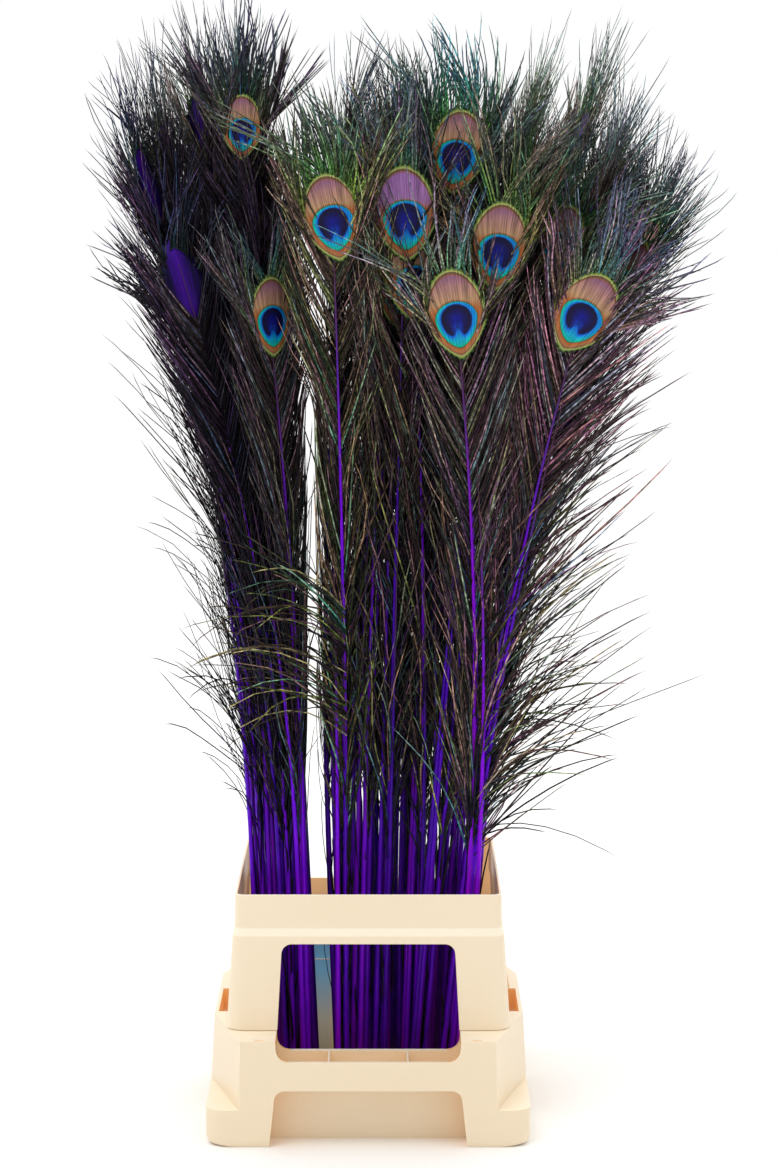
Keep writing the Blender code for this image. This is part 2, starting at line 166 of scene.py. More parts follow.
def newMaterial(name, values):
    # a Principled shader on its own, with the given values on its sockets
    material = bpy.data.materials.new(name)
    material.use_nodes = True
    tree = material.node_tree
    tree.nodes.clear()
    shader = addNode(tree, "ShaderNodeBsdfPrincipled", (600, 0))
    out = addNode(tree, "ShaderNodeOutputMaterial", (900, 0))
    joinNodes(tree, shader.outputs["BSDF"], out.inputs["Surface"])
    for key, value in values.items():
        setInput(tree, shader.inputs[key], value)
    return material, tree, shader


def mathNode(tree, operation, first, second=None, clamp=False):
    node = addNode(tree, "ShaderNodeMath", operation=operation, use_clamp=clamp)
    setInput(tree, node.inputs[0], first)
    if second is not None:
        setInput(tree, node.inputs[1], second)
    return node.outputs[0]


def times(tree, first, second):
    return mathNode(tree, "MULTIPLY", first, second)


def plus(tree, first, second, clamp=False):
    return mathNode(tree, "ADD", first, second, clamp)


def minus(tree, first, second):
    return mathNode(tree, "SUBTRACT", first, second)


def offMiddle(tree, value):
    # distance from one half
    return mathNode(tree, "ABSOLUTE", minus(tree, value, 0.5))


def combine(tree, x, y, z=0.0):
    node = addNode(tree, "ShaderNodeCombineXYZ")
    for socket, value in zip(node.inputs, (x, y, z)):
        setInput(tree, socket, value)
    return node.outputs[0]


def separate(tree, source):
    node = addNode(tree, "ShaderNodeSeparateXYZ")
    joinNodes(tree, source, node.inputs[0])
    return node.outputs["X"], node.outputs["Y"], node.outputs["Z"]


def noiseNode(tree, vector, scale=1.0, detail=2.0, roughness=0.5):
    node = addNode(tree, "ShaderNodeTexNoise")
    for name, value in (("Vector", vector), ("Scale", scale), ("Detail", detail), ("Roughness", roughness)):
        setInput(tree, node.inputs[name], value)
    return node.outputs["Fac"]


def scaleColour(tree, colour, factor):
    node = addNode(tree, "ShaderNodeVectorMath", operation="SCALE")
    joinNodes(tree, colour, node.inputs[0])
    joinNodes(tree, factor, node.inputs["Scale"])
    return node.outputs[0]


def addBump(tree, shader, height, strength, distance):
    bump = addNode(tree, "ShaderNodeBump")
    bump.inputs["Strength"].default_value = strength
    bump.inputs["Distance"].default_value = distance
    joinNodes(tree, height, bump.inputs["Height"])
    joinNodes(tree, bump.outputs[0], shader.inputs["Normal"])


def rampNode(tree, factor, stops, interpolation="LINEAR"):
    node = addNode(tree, "ShaderNodeValToRGB")
    node.color_ramp.interpolation = interpolation
    elements = node.color_ramp.elements
    while len(elements) > 1:
        elements.remove(elements[-1])
    elements[0].position = stops[0][0]
    elements[0].color = (*stops[0][1], 1.0)
    for position, colour in stops[1:]:
        element = elements.new(position)
        element.color = (*colour, 1.0)
    joinNodes(tree, factor, node.inputs["Fac"])
    return node.outputs["Color"]


def mixColour(tree, factor, first, second, blend="MIX"):
    node = addNode(tree, "ShaderNodeMix", data_type="RGBA", blend_type=blend)
    for socket, value in ((node.inputs[0], factor), (node.inputs[6], first), (node.inputs[7], second)):
        setInput(tree, socket, value)
    return node.outputs[2]


def remap(tree, value, low, high, newLow=0.0, newHigh=1.0, smooth=False):
    node = addNode(tree, "ShaderNodeMapRange")
    node.interpolation_type = "SMOOTHSTEP" if smooth else "LINEAR"
    joinNodes(tree, value, node.inputs["Value"])
    for name, number in (("From Min", low), ("From Max", high), ("To Min", newLow), ("To Max", newHigh)):
        node.inputs[name].default_value = number
    return node.outputs["Result"]


def bandMask(tree, value, rise, fall, smooth=False):
    # 1 inside the band: each pair holds the values where a slope is 0 and where it is 1
    return times(tree, remap(tree, value, *rise, smooth=smooth), remap(tree, value, *fall, smooth=smooth))


def newGroup(name, inputs, outputs):
    group = bpy.data.node_groups.new(name, "ShaderNodeTree")
    for label, kind, value in inputs:
        socket = group.interface.new_socket(name=label, in_out="INPUT", socket_type=kind)
        if value is not None:
            socket.default_value = value
    for label, kind in outputs:
        group.interface.new_socket(name=label, in_out="OUTPUT", socket_type=kind)
    entry = addNode(group, "NodeGroupInput", (-900, 0))
    leave = addNode(group, "NodeGroupOutput", (900, 0))
    return group, entry, leave


def uvParts(tree, name):
    uv = addNode(tree, "ShaderNodeUVMap", uv_map=name)
    return separate(tree, uv.outputs["UV"])[:2]


def buildStreaksGroup():
    # fine lines that fan out from the quill, as the barbs lie in a closed vane
    group, entry, leave = newGroup(
        "fanStreaks",
        (("Across", "NodeSocketFloat", 0.5), ("Up", "NodeSocketFloat", 0.5),
         ("Lines", "NodeSocketFloat", 60.0), ("Roughen", "NodeSocketFloat", 1.0)),
        (("Streak", "NodeSocketFloat"), ("Patch", "NodeSocketFloat")),
    )
    across, up = entry.outputs["Across"], entry.outputs["Up"]
    rise = plus(group, up, 0.12)
    fan = mathNode(group, "DIVIDE", minus(group, across, 0.5), rise)
    lines = combine(group, times(group, fan, entry.outputs["Lines"]), times(group, rise, 3.0))
    streak = noiseNode(group, lines, detail=4.0, roughness=entry.outputs["Roughen"])
    joinNodes(group, remap(group, streak, 0.3, 0.7), leave.inputs["Streak"])
    joinNodes(group, noiseNode(group, combine(group, across, up), scale=7.0), leave.inputs["Patch"])
    return group


def buildPlasticGroup():
    # cream plastic: faint clouds, scuffs, a painted warmer tone that stands in for light coming only through
    # the wall, and a painted highlight on faces that look up
    group, entry, leave = newGroup(
        "creamPlastic",
        (("Outside", "NodeSocketColor", (0.93, 0.79, 0.56, 1.0)),
         ("Inside", "NodeSocketColor", (0.95, 0.60, 0.26, 1.0)),
         ("Inner", "NodeSocketFloat", 0.0), ("Scuffs", "NodeSocketFloat", 0.3)),
        (("Colour", "NodeSocketColor"), ("Roughness", "NodeSocketFloat"), ("Height", "NodeSocketFloat")),
    )
    where = addNode(group, "ShaderNodeTexCoord").outputs["Object"]
    cloud = noiseNode(group, where, scale=9.0, detail=3.0)
    grain = noiseNode(group, where, scale=900.0)
    stretch = addNode(group, "ShaderNodeMapping")
    stretch.inputs["Scale"].default_value = (14.0, 14.0, 160.0)
    stretch.inputs["Rotation"].default_value = (0.3, 0.5, 0.0)
    joinNodes(group, where, stretch.inputs["Vector"])
    scratch = noiseNode(group, stretch.outputs[0], detail=5.0)
    marks = times(group, remap(group, scratch, 0.62, 0.74), entry.outputs["Scuffs"])
    # painted light: inner faces take the warm Inside colour, which stands in for light coming through the
    # wall
    base = mixColour(group, entry.outputs["Inner"], entry.outputs["Outside"], entry.outputs["Inside"])
    shade = mixColour(group, remap(group, cloud, 0.35, 0.7, 0.0, 0.10), base, (0.80, 0.66, 0.45))
    worn = mixColour(group, times(group, marks, 0.35), shade, (0.66, 0.55, 0.40))
    # painted highlight: outside faces that look up are mixed lighter, as light falls from above
    facing = separate(group, addNode(group, "ShaderNodeNewGeometry").outputs["Normal"])[2]
    upward = remap(group, facing, 0.15, 0.75, 0.0, 0.55, smooth=True)
    upward = times(group, upward, minus(group, 1.0, entry.outputs["Inner"]))
    joinNodes(group, mixColour(group, upward, worn, (1.0, 0.90, 0.72)), leave.inputs["Colour"])
    rough = plus(group, remap(group, cloud, 0.3, 0.7, 0.34, 0.46), times(group, marks, 0.25))
    joinNodes(group, rough, leave.inputs["Roughness"])
    height = minus(group, times(group, grain, 0.35), times(group, marks, 0.4))
    joinNodes(group, height, leave.inputs["Height"])
    return group


streaksGroup = buildStreaksGroup()
plasticGroup = buildPlasticGroup()


# Both container pieces: metres and degrees
containerLook = {
    "edgeRound": 0.0007, "edgeSteps": 2, "sharpAngle": 30.0,
    "front": (0.90, 0.750, 0.545),
    "collarFront": (0.905, 0.760, 0.560),
    # painted light: warm orange on faces that light reaches only through the wall
    "inside": (0.90, 0.53, 0.22),
    "sideWall": (0.55, 0.38, 0.27),       # inside of the left and right walls, darker: painted shade
    "lip": (1.0, 0.92, 0.74),             # the collar's shoulder, which catches the light
    "lipLow": (0.1895, 0.1915), "lipHigh": (0.1990, 0.1970), "lipStrength": 0.75,
    "scuffs": 0.12, "gloss": 0.45,
    "bumpStrength": 0.12, "bumpDepth": 0.0004,
    "glowHeights": (0.12, 0.19), "glow": (0.10, 0.50), "sideGlow": (1.0, 0.35),    # light through the walls
}
# A blue patch on the inside of the back wall, left of the middle, brownish low down and blue higher up, with
# a painted glow: where its edges begin and end
bluePatchLook = {
    "left": (-0.090, -0.066), "right": (-0.020, -0.045), "back": (0.05, 0.12), "top": (0.175, 0.150),
    "strength": 0.95, "glow": 0.35, "bluePatchHeights": (0.00, 0.18),
}


def makePlastic(name, outside):
    look = containerLook
    material, tree, shader = newMaterial(name, {
        "Specular IOR Level": look["gloss"], "Subsurface Weight": 0.0, "Emission Strength": 1.0})
    group = addNode(tree, "ShaderNodeGroup", node_tree=plasticGroup)
    inner, sideways = uvParts(tree, "zone")
    # painted light and shade: the warm through-wall tone on inner faces, darker painted shade inside the left
    # and right walls
    walls = mixColour(tree, sideways, look["inside"], look["sideWall"])
    for key, value in (("Outside", outside), ("Scuffs", look["scuffs"]), ("Inner", inner), ("Inside", walls)):
        setInput(tree, group.inputs[key], value)
    x, y, z = separate(tree, addNode(tree, "ShaderNodeTexCoord").outputs["Object"])
    # the blue patch on the inside of the back wall: brownish low down, blue higher up, and given a painted
    # glow below
    sides = bandMask(tree, x, bluePatchLook["left"], bluePatchLook["right"], smooth=True)
    far = times(tree, remap(tree, y, *bluePatchLook["back"]), remap(tree, z, *bluePatchLook["top"], smooth=True))
    bluePatch = times(tree, sides, times(tree, far, inner))
    bluePatchColour = rampNode(tree, remap(tree, z, *bluePatchLook["bluePatchHeights"]), (
        (0.00, (0.200, 0.170, 0.110)),
        (0.22, (0.300, 0.320, 0.270)),
        (0.50, (0.100, 0.330, 0.500)),
        (1.00, (0.006, 0.150, 0.360)),
    ))
    # painted highlight: a lighter band on the collar's shoulder, on outside faces only
    shoulderHighlight = bandMask(tree, z, look["lipLow"], look["lipHigh"], smooth=True)
    shoulderHighlight = times(tree, shoulderHighlight, minus(tree, look["lipStrength"], times(tree, inner, look["lipStrength"])))
    highlighted = mixColour(tree, shoulderHighlight, group.outputs["Colour"], look["lip"])
    patchedColour = mixColour(tree, times(tree, bluePatch, bluePatchLook["strength"]), highlighted, bluePatchColour)
    joinNodes(tree, patchedColour, shader.inputs["Base Color"])
    # painted glow: inner faces emit their own colour, more higher up and less on the side walls, standing in
    # for light that comes through the wall; the blue patch glows too
    glow = times(tree, inner, remap(tree, z, *look["glowHeights"], *look["glow"], smooth=True))
    glow = times(tree, glow, remap(tree, sideways, 0.0, 1.0, *look["sideGlow"]))
    glow = plus(tree, glow, times(tree, bluePatch, bluePatchLook["glow"]))
    joinNodes(tree, scaleColour(tree, patchedColour, glow), shader.inputs["Emission Color"])
    joinNodes(tree, group.outputs["Roughness"], shader.inputs["Roughness"])
    addBump(tree, shader, group.outputs["Height"], look["bumpStrength"], look["bumpDepth"])
    return material


def makeQuillMaterial():
    # violet dye over a horny shaft: magenta and blue patches along its length, darkened by painted shade deep
    # in the bunch
    material, tree, shader = newMaterial("dyedQuill", {"Roughness": 0.42, "Specular IOR Level": 0.14})
    around, height = uvParts(tree, "plume")
    tint, feather = uvParts(tree, "shade")
    bunchShade = uvParts(tree, "depth")[0]
    place = combine(tree, times(tree, around, 6.0), times(tree, height, 30.0), times(tree, feather, 40.0))
    noise = noiseNode(tree, place, detail=3.0)
    hue = plus(tree, times(tree, noise, 0.55), times(tree, tint, 0.5), clamp=True)
    colour = rampNode(tree, hue, (
        (0.15, (0.018, 0.000, 0.150)),
        (0.38, (0.075, 0.000, 0.500)),
        (0.62, (0.170, 0.000, 0.800)),
        (0.88, (0.300, 0.000, 0.620)),
    ))
    colour = mixColour(tree, remap(tree, height, 0.62, 0.93, smooth=True), colour, (0.075, 0.030, 0.060))
    # painted shade: quills deep in the bunch are darkened
    colour = mixColour(tree, remap(tree, bunchShade, 0.0, 1.0, 0.0, 0.62), colour, (0.012, 0.000, 0.070))
    joinNodes(tree, colour, shader.inputs["Base Color"])
    addBump(tree, shader, noise, 0.2, 0.0003)
    return material


def makeBarbMaterial():
    # colour by place on the feather (zone), place along the barb, and chance, with painted shade deep in the
    # bunch and painted glints
    material, tree, shader = newMaterial("iridescentBarb", {"Metallic": 0.35, "Specular IOR Level": 0.3})
    along, zone = uvParts(tree, "plume")
    chance, feather = uvParts(tree, "shade")
    rootColour = rampNode(tree, zone, (
        (0.00, (0.006, 0.004, 0.012)),
        (0.40, (0.014, 0.008, 0.026)),
        (0.62, (0.090, 0.060, 0.060)),
        (0.76, (0.200, 0.130, 0.130)),
        (0.83, (0.230, 0.220, 0.070)),
        (0.91, (0.180, 0.340, 0.050)),
        (1.00, (0.030, 0.270, 0.170)),
    ))
    tipColour = rampNode(tree, zone, (
        (0.00, (0.160, 0.120, 0.050)),
        (0.35, (0.130, 0.085, 0.060)),
        (0.60, (0.200, 0.120, 0.140)),
        (0.78, (0.280, 0.160, 0.220)),
        (0.88, (0.220, 0.240, 0.210)),
        (0.94, (0.100, 0.220, 0.330)),
        (1.00, (0.250, 0.150, 0.300)),
    ))
    reach = times(tree, remap(tree, along, 0.1, 0.85, smooth=True), remap(tree, zone, 0.0, 0.03))
    body = mixColour(tree, reach, rootColour, tipColour)
    sheen = rampNode(tree, chance, (
        (0.00, (0.340, 0.140, 0.280)),
        (0.16, (0.240, 0.170, 0.070)),
        (0.32, (0.120, 0.040, 0.170)),
        (0.46, (0.006, 0.005, 0.012)),
        (0.58, (0.012, 0.010, 0.018)),
        (0.70, (0.200, 0.300, 0.060)),
        (0.84, (0.020, 0.300, 0.340)),
        (1.00, (0.380, 0.290, 0.160)),
    ))
    body = mixColour(tree, remap(tree, zone, 0.0, 0.02, 0.0, 0.45), body, sheen)
    cast = rampNode(tree, feather, (
        (0.00, (1.25, 0.80, 1.15)),
        (0.12, (1.00, 1.00, 1.00)),
        (0.24, (0.55, 1.15, 1.25)),
        (0.36, (1.25, 1.15, 0.65)),
        (0.46, (1.00, 0.90, 0.90)),
        (0.50, (0.50, 0.46, 0.60)),
        (0.70, (0.75, 0.70, 0.62)),
        (0.88, (0.44, 0.42, 0.62)),
        (0.95, (0.42, 0.34, 0.62)),
    ))
    body = mixColour(tree, 1.0, body, cast, "MULTIPLY")
    bunchShade = uvParts(tree, "depth")[0]
    # painted shade: barbs deep in the bunch are darkened almost to black
    body = mixColour(tree, remap(tree, bunchShade, 0.0, 1.0, 0.0, 0.92), body, (0.005, 0.004, 0.016))
    place = combine(tree, times(tree, along, 26.0), times(tree, chance, 300.0), times(tree, feather, 90.0))
    # painted glints: brighter beads along each barb
    glintBeads = noiseNode(tree, place)
    glint = remap(tree, glintBeads, 0.40, 0.66, 0.40, 1.9)
    # brightness from barb to barb: partly tone that differs at random, partly painted light and shade, most
    # barbs darkened and a few brightened; more even near the eye
    lot = mathNode(tree, "FRACT", times(tree, chance, 17.3))     # makes neighbours unlike
    strand = remap(tree, lot, 0.35, 0.95, 0.22, 1.9, smooth=True)
    even = remap(tree, zone, 0.80, 0.97, 0.0, 0.45)
    strand = plus(tree, times(tree, strand, minus(tree, 1.0, even)), even)
    bright = scaleColour(tree, body, times(tree, glint, strand))
    joinNodes(tree, bright, shader.inputs["Base Color"])
    joinNodes(tree, remap(tree, glintBeads, 0.3, 0.7, 0.62, 0.34), shader.inputs["Roughness"])
    return material


def placeStreaks(tree, across, up, lines):
    node = addNode(tree, "ShaderNodeGroup", node_tree=streaksGroup)
    for key, value in (("Lines", lines), ("Roughen", 0.6), ("Across", across), ("Up", up)):
        setInput(tree, node.inputs[key], value)
    return node.outputs["Streak"], node.outputs["Patch"]


def makeEyeMaterial(name, pink):
    # the rings follow the nested outlines; the upper copper turns pink, the blue ring is bluer on one side
    material, tree, shader = newMaterial(name, {"Metallic": 0.10, "Specular IOR Level": 0.22})
    across, up = uvParts(tree, "plume")
    share = uvParts(tree, "shade")[0]
    streak, patch = placeStreaks(tree, across, up, 90.0)
    wobble = times(tree, minus(tree, streak, 0.5), 0.014)
    ring = plus(tree, share, wobble)
    colour = rampNode(tree, ring, (
        (0.00, (0.000, 0.004, 0.260)),
        (0.12, (0.001, 0.002, 0.120)),
        (0.24, (0.003, 0.000, 0.028)),
        (0.300, (0.000, 0.003, 0.050)),
        (0.335, (0.000, 0.110, 0.600)),
        (0.40, (0.000, 0.360, 0.580)),
        (0.475, (0.000, 0.460, 0.290)),
        (0.50, (0.010, 0.100, 0.060)),
        (0.53, (0.400, 0.090, 0.018)),
        (0.68, (0.420, 0.160, 0.050)),
        (0.82, (0.300, 0.110, 0.050)),
        (0.855, (0.090, 0.055, 0.030)),
        (0.885, (0.420, 0.400, 0.130)),
        (0.92, (0.200, 0.300, 0.060)),
        (0.96, (0.060, 0.110, 0.030)),
        (1.00, (0.020, 0.035, 0.015)),
    ))
    upper = rampNode(tree, remap(tree, up, 0.52, 0.80), (
        (0.00, (0.400, 0.160, 0.055)),
        (0.35, (0.430, 0.250, 0.130)),
        (0.75, (0.360, 0.175, 0.170)),
        (1.00, (0.230, 0.095, 0.190)),
    ))
    inCopper = bandMask(tree, ring, (0.50, 0.54), (0.84, 0.80), smooth=True)
    inUpper = times(tree, inCopper, remap(tree, up, 0.54, 0.62, smooth=True))
    colour = mixColour(tree, inUpper, colour, upper)
    colour = mixColour(tree, times(tree, inUpper, pink), colour, (0.300, 0.130, 0.400))
    centre = remap(tree, offMiddle(tree, across), 0.0, 0.055, 1.0, 0.0, smooth=True)
    flare = times(tree, centre, remap(tree, up, 0.49, 0.44, smooth=True))
    flare = times(tree, flare, remap(tree, ring, 0.36, 0.20, smooth=True))
    colour = mixColour(tree, times(tree, flare, 0.75), colour, (0.002, 0.045, 0.520))
    inBlue = bandMask(tree, ring, (0.31, 0.34), (0.49, 0.46))
    oneSide = remap(tree, plus(tree, across, times(tree, up, 0.6)), 0.78, 0.95)
    colour = mixColour(tree, times(tree, inBlue, oneSide), colour, (0.000, 0.200, 0.640))
    shaded = scaleColour(tree, colour, remap(tree, streak, 0.15, 0.85, 0.50, 1.35))
    joinNodes(tree, shaded, shader.inputs["Base Color"])
    joinNodes(tree, remap(tree, patch, 0.3, 0.7, 0.38, 0.56), shader.inputs["Roughness"])
    addBump(tree, shader, streak, 0.5, 0.0005)
    return material


def makeBackMaterial():
    # the back of the eye takes the dye: deep violet, lighter along the quill
    material, tree, shader = newMaterial("dyedBack", {"Specular IOR Level": 0.2})
    across, up = uvParts(tree, "plume")
    streak, patch = placeStreaks(tree, across, up, 70.0)
    middle = remap(tree, offMiddle(tree, across), 0.0, 0.17, 1.0, 0.0, smooth=True)
    tone = plus(tree, times(tree, middle, 0.55), times(tree, streak, 0.45), clamp=True)
    colour = rampNode(tree, tone, (
        (0.10, (0.002, 0.001, 0.018)),
        (0.40, (0.010, 0.001, 0.070)),
        (0.75, (0.045, 0.003, 0.260)),
        (1.00, (0.120, 0.010, 0.480)),
    ))
    joinNodes(tree, colour, shader.inputs["Base Color"])
    joinNodes(tree, remap(tree, patch, 0.3, 0.7, 0.40, 0.60), shader.inputs["Roughness"])
    addBump(tree, shader, streak, 0.4, 0.0005)
    return material


quillMaterial = makeQuillMaterial()
barbMaterial = makeBarbMaterial()
eyeMaterial = makeEyeMaterial("eyeFront", 0.0)
pinkEyeMaterial = makeEyeMaterial("eyeFrontPink", 0.85)
backMaterial = makeBackMaterial()
print("materials made")


def unit(vectors):
    return vectors / np.maximum(np.linalg.norm(vectors, axis=-1, keepdims=True), 1e-12)


class MeshParts:
    # gathers the points, faces, texture corners and material numbers of one piece

    def __init__(self):
        self.points = []
        self.count = 0
        self.corners = []
        self.sizes = []
        self.materials = []
        self.layers = {"plume": [], "shade": [], "depth": [], "OFBake": []}

    def addPoints(self, points):
        start = self.count
        self.points.append(points)
        self.count += len(points)
        return start

    def addFaces(self, start, faces, material, **layers):
        # each layer holds two numbers per face corner
        self.corners.append((faces + start).ravel())
        self.sizes.append(np.full(len(faces), faces.shape[1]))
        self.materials.append(np.full(len(faces), material))
        layers.setdefault("depth", np.zeros((faces.size, 2)))
        for name, values in layers.items():
            self.layers[name].append(values.reshape(-1, 2))

    def build(self, name):
        points = np.concatenate(self.points).astype(np.float32)
        corners = np.concatenate(self.corners).astype(np.int32)
        sizes = np.concatenate(self.sizes)
        starts = np.concatenate(([0], np.cumsum(sizes)[:-1])).astype(np.int32)
        mesh = bpy.data.meshes.new(name)
        mesh.vertices.add(len(points))
        mesh.vertices.foreach_set("co", points.ravel())
        mesh.loops.add(len(corners))
        mesh.loops.foreach_set("vertex_index", corners)
        mesh.polygons.add(len(sizes))
        mesh.polygons.foreach_set("loop_start", starts)
        mesh.polygons.foreach_set("material_index", np.concatenate(self.materials).astype(np.int32))
        for label, values in self.layers.items():
            layer = mesh.uv_layers.new(name=label)
            layer.data.foreach_set("uv", np.concatenate(values).astype(np.float32).ravel())
        mesh.update(calc_edges=True)
        mesh.shade_smooth()
        piece = bpy.data.objects.new(name, mesh)
        bpy.context.scene.collection.objects.link(piece)
        return piece


def readPath(node):
    # middle of the feather at each of the frame's heights
    points = np.array([vertex.co for vertex in node.data.vertices])
    heights = np.unique(np.round(points[:, 2], 4))
    tolerance = 0.0002
    middles = []
    for height in heights:
        ring = points[np.abs(points[:, 2] - height) < tolerance]
        middles.append((ring.min(axis=0) + ring.max(axis=0)) / 2)
    return heights, np.array(middles)


def followPath(path, heights):
    # smooth curve through the middles: places and directions at the given heights
    levels, middles = path
    slopes = np.gradient(middles, levels, axis=0)
    heights = np.asarray(heights, float)
    index = np.clip(np.searchsorted(levels, heights) - 1, 0, len(levels) - 2)
    step = (levels[index + 1] - levels[index])[:, None]
    s = np.clip((heights - levels[index])[:, None] / step, 0.0, 1.2)
    a, b = middles[index], middles[index + 1]
    ma, mb = slopes[index] * step, slopes[index + 1] * step
    place = (2*s**3 - 3*s**2 + 1) * a + (s**3 - 2*s**2 + s) * ma
    place = place + (3*s**2 - 2*s**3) * b + (s**3 - s**2) * mb
    direction = (6*s**2 - 6*s) * a + (3*s**2 - 4*s + 1) * ma
    direction = direction + (6*s - 6*s**2) * b + (3*s**2 - 2*s) * mb
    return place, unit(direction)


featherPaths = {n: readPath(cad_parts["feather_%02d" % n]) for n in range(1, 51)}
spanHeights = np.linspace(0.05, 0.85, 9)


def bunchSpan(numbers, height):
    # leftmost and rightmost quill of a bunch at a height
    places = [followPath(featherPaths[n], [height])[0][0, 0] for n in numbers]
    return min(places), max(places)


# by side: true for the left bunch
bunchSpans = {
    True: np.array([bunchSpan(range(1, lastLeft + 1), h) for h in spanHeights]),
    False: np.array([bunchSpan(range(lastLeft + 1, 51), h) for h in spanHeights]),
}


def findEyeHeight(number):
    drop = ownLook.get("feather_%02d" % number, {}).get("drop", 0.0)
    return featherPaths[number][0][-1] - (featherLook["eyeBelowTip"] + drop)


# Eyes that show, by feather number: middle, share of barbs that may cross, narrowness
clearEyes = {}
for name, own in ownLook.items():
    if "clear" in own:
        number = int(name[-2:])
        clearEyes[number] = (followPath(featherPaths[number], [findEyeHeight(number)])[0][0], *own["clear"])


def softLimit(values, low, high, margin=reachLook["soft"]):
    # bends what would pass a limit back inside it, smoothly
    upper = high - margin * np.exp(-(values - high + margin) / margin)
    values = np.where(values > high - margin, upper, values)
    lower = low + margin * np.exp((values - low - margin) / margin)
    return np.where(values < low + margin, lower, values)


def acrossBunch(leftBunch, height, x, least):
    # -1 at the leftmost quill of the bunch, 1 at its rightmost one
    spans = bunchSpans[leftBunch]
    low = np.interp(height, spanHeights, spans[:, 0])
    high = np.interp(height, spanHeights, spans[:, 1])
    return (x - (low + high) / 2) / np.maximum((high - low) / 2, least)


def insideBunch(points, leftBunch):
    # 0 at the outside of the bunch, 1 in its middle; the tops are open to the light. This sets the painted
    # shade that darkens quills and barbs deep in the bunch
    depth, flare, openFrom, openOver = 0.070, 0.085, 0.98, 0.16
    height = points[..., 2]
    across = acrossBunch(leftBunch, height, points[..., 0], 0.02)
    through = points[..., 1] / (depth + flare * height)
    inside = 1 - np.clip(0.45 * across ** 2 + through ** 2, 0.0, 1.0)
    inside = np.clip(inside * 1.7, 0.0, 1.0)
    return inside * np.clip((openFrom - height) / openOver, 0.0, 1.0)


def pair(first, second=0.0):
    # two numbers per face corner, as a texture layer holds them
    return np.stack(np.broadcast_arrays(first, second), axis=-1)


def addQuill(parts, feather, top, tint, sides, rings, offset, bakeRow):
    look = featherLook
    path = feather["path"]
    heights = np.linspace(path[0][0] + 0.0005, top, rings)
    middle, along = followPath(path, heights)
    middle = middle + offset
    rise = np.linspace(0.0, 1.0, rings)[:, None]
    radius = look["quillRadius"] + (look["quillTipRadius"] - look["quillRadius"]) * rise ** look["quillTaper"]
    side = unit(np.cross(along, (0.0, -1.0, 0.0)))
    front = np.cross(side, along)
    points = []
    for k in range(sides):
        turn = 2 * math.pi * k / sides
        points.append(middle + radius * (math.cos(turn) * side + math.sin(turn) * front))
    points = np.stack(points, axis=1).reshape(-1, 3)
    start = parts.addPoints(points)
    k, j = np.meshgrid(np.arange(rings - 1), np.arange(sides), indexing="ij")
    k, j = k.ravel(), j.ravel()
    n = (j + 1) % sides
    faces = np.stack((k * sides + j, k * sides + n, (k + 1) * sides + n, (k + 1) * sides + j), axis=1)
    kk = np.stack((k, k, k + 1, k + 1), axis=1)
    jj = np.stack((j, j + 1, j + 1, j), axis=1)
    bake = pair(0.01 + 0.97 * kk / (rings - 1), bakeRow + 0.04 * jj / sides)
    # painted shade on the quill, from how deep in the bunch it stands
    depth = pair(0.55 * insideBunch(middle, feather["left"])[kk])
    plume = pair(jj / sides, kk / (rings - 1))
    shade = pair(np.full(kk.shape, tint), feather["cast"])
    parts.addFaces(start, faces, 0, plume=plume, shade=shade, depth=depth, OFBake=bake)
    for level, order, spot in ((0, -1, 0.003), (rings - 1, 1, 0.985)):
        cap = (level * sides + np.arange(sides)[::order])[None, :]
        turns = 2 * math.pi * np.arange(sides)[::order] / sides
        disc = pair(spot + 0.003 * np.cos(turns), bakeRow + 0.02 + 0.003 * np.sin(turns))[None]
        plume = pair(np.full(cap.shape, 0.5), level / (rings - 1))
        shade = pair(np.full(cap.shape, tint), feather["cast"])
        parts.addFaces(start, cap, 0, plume=plume, shade=shade, OFBake=disc)


def eyeOutline(share, angles):
    # one nested outline of the eye, by interpolating the table
    look = eyeLook
    table = np.array(eyeOutlines)
    width, up, down, power, corner = (np.interp(share, table[:, 0], table[:, i]) for i in range(1, 6))
    c, s = np.cos(angles), np.sin(angles)
    lower = -down * (1 - np.abs(c) ** corner) ** power
    notch = np.clip((look["notchEnd"] - share) / look["notchFade"], 0.0, 1.0) * look["notchDepth"]
    lower *= 1 - notch * np.exp(-(c / look["notchSpread"]) ** 2)
    return width * c, np.where(s >= 0, up * s, lower)


def placeOnEye(feather, x, y, scale=1.0):
    # points in the plane of the feather's eye, stretched and sized as it is
    wide, high = feather["stretch"]
    flat = wide * x[:, None] * feather["side"] + high * y[:, None] * feather["along"]
    return feather["eyeMiddle"] + feather["size"] * scale * flat


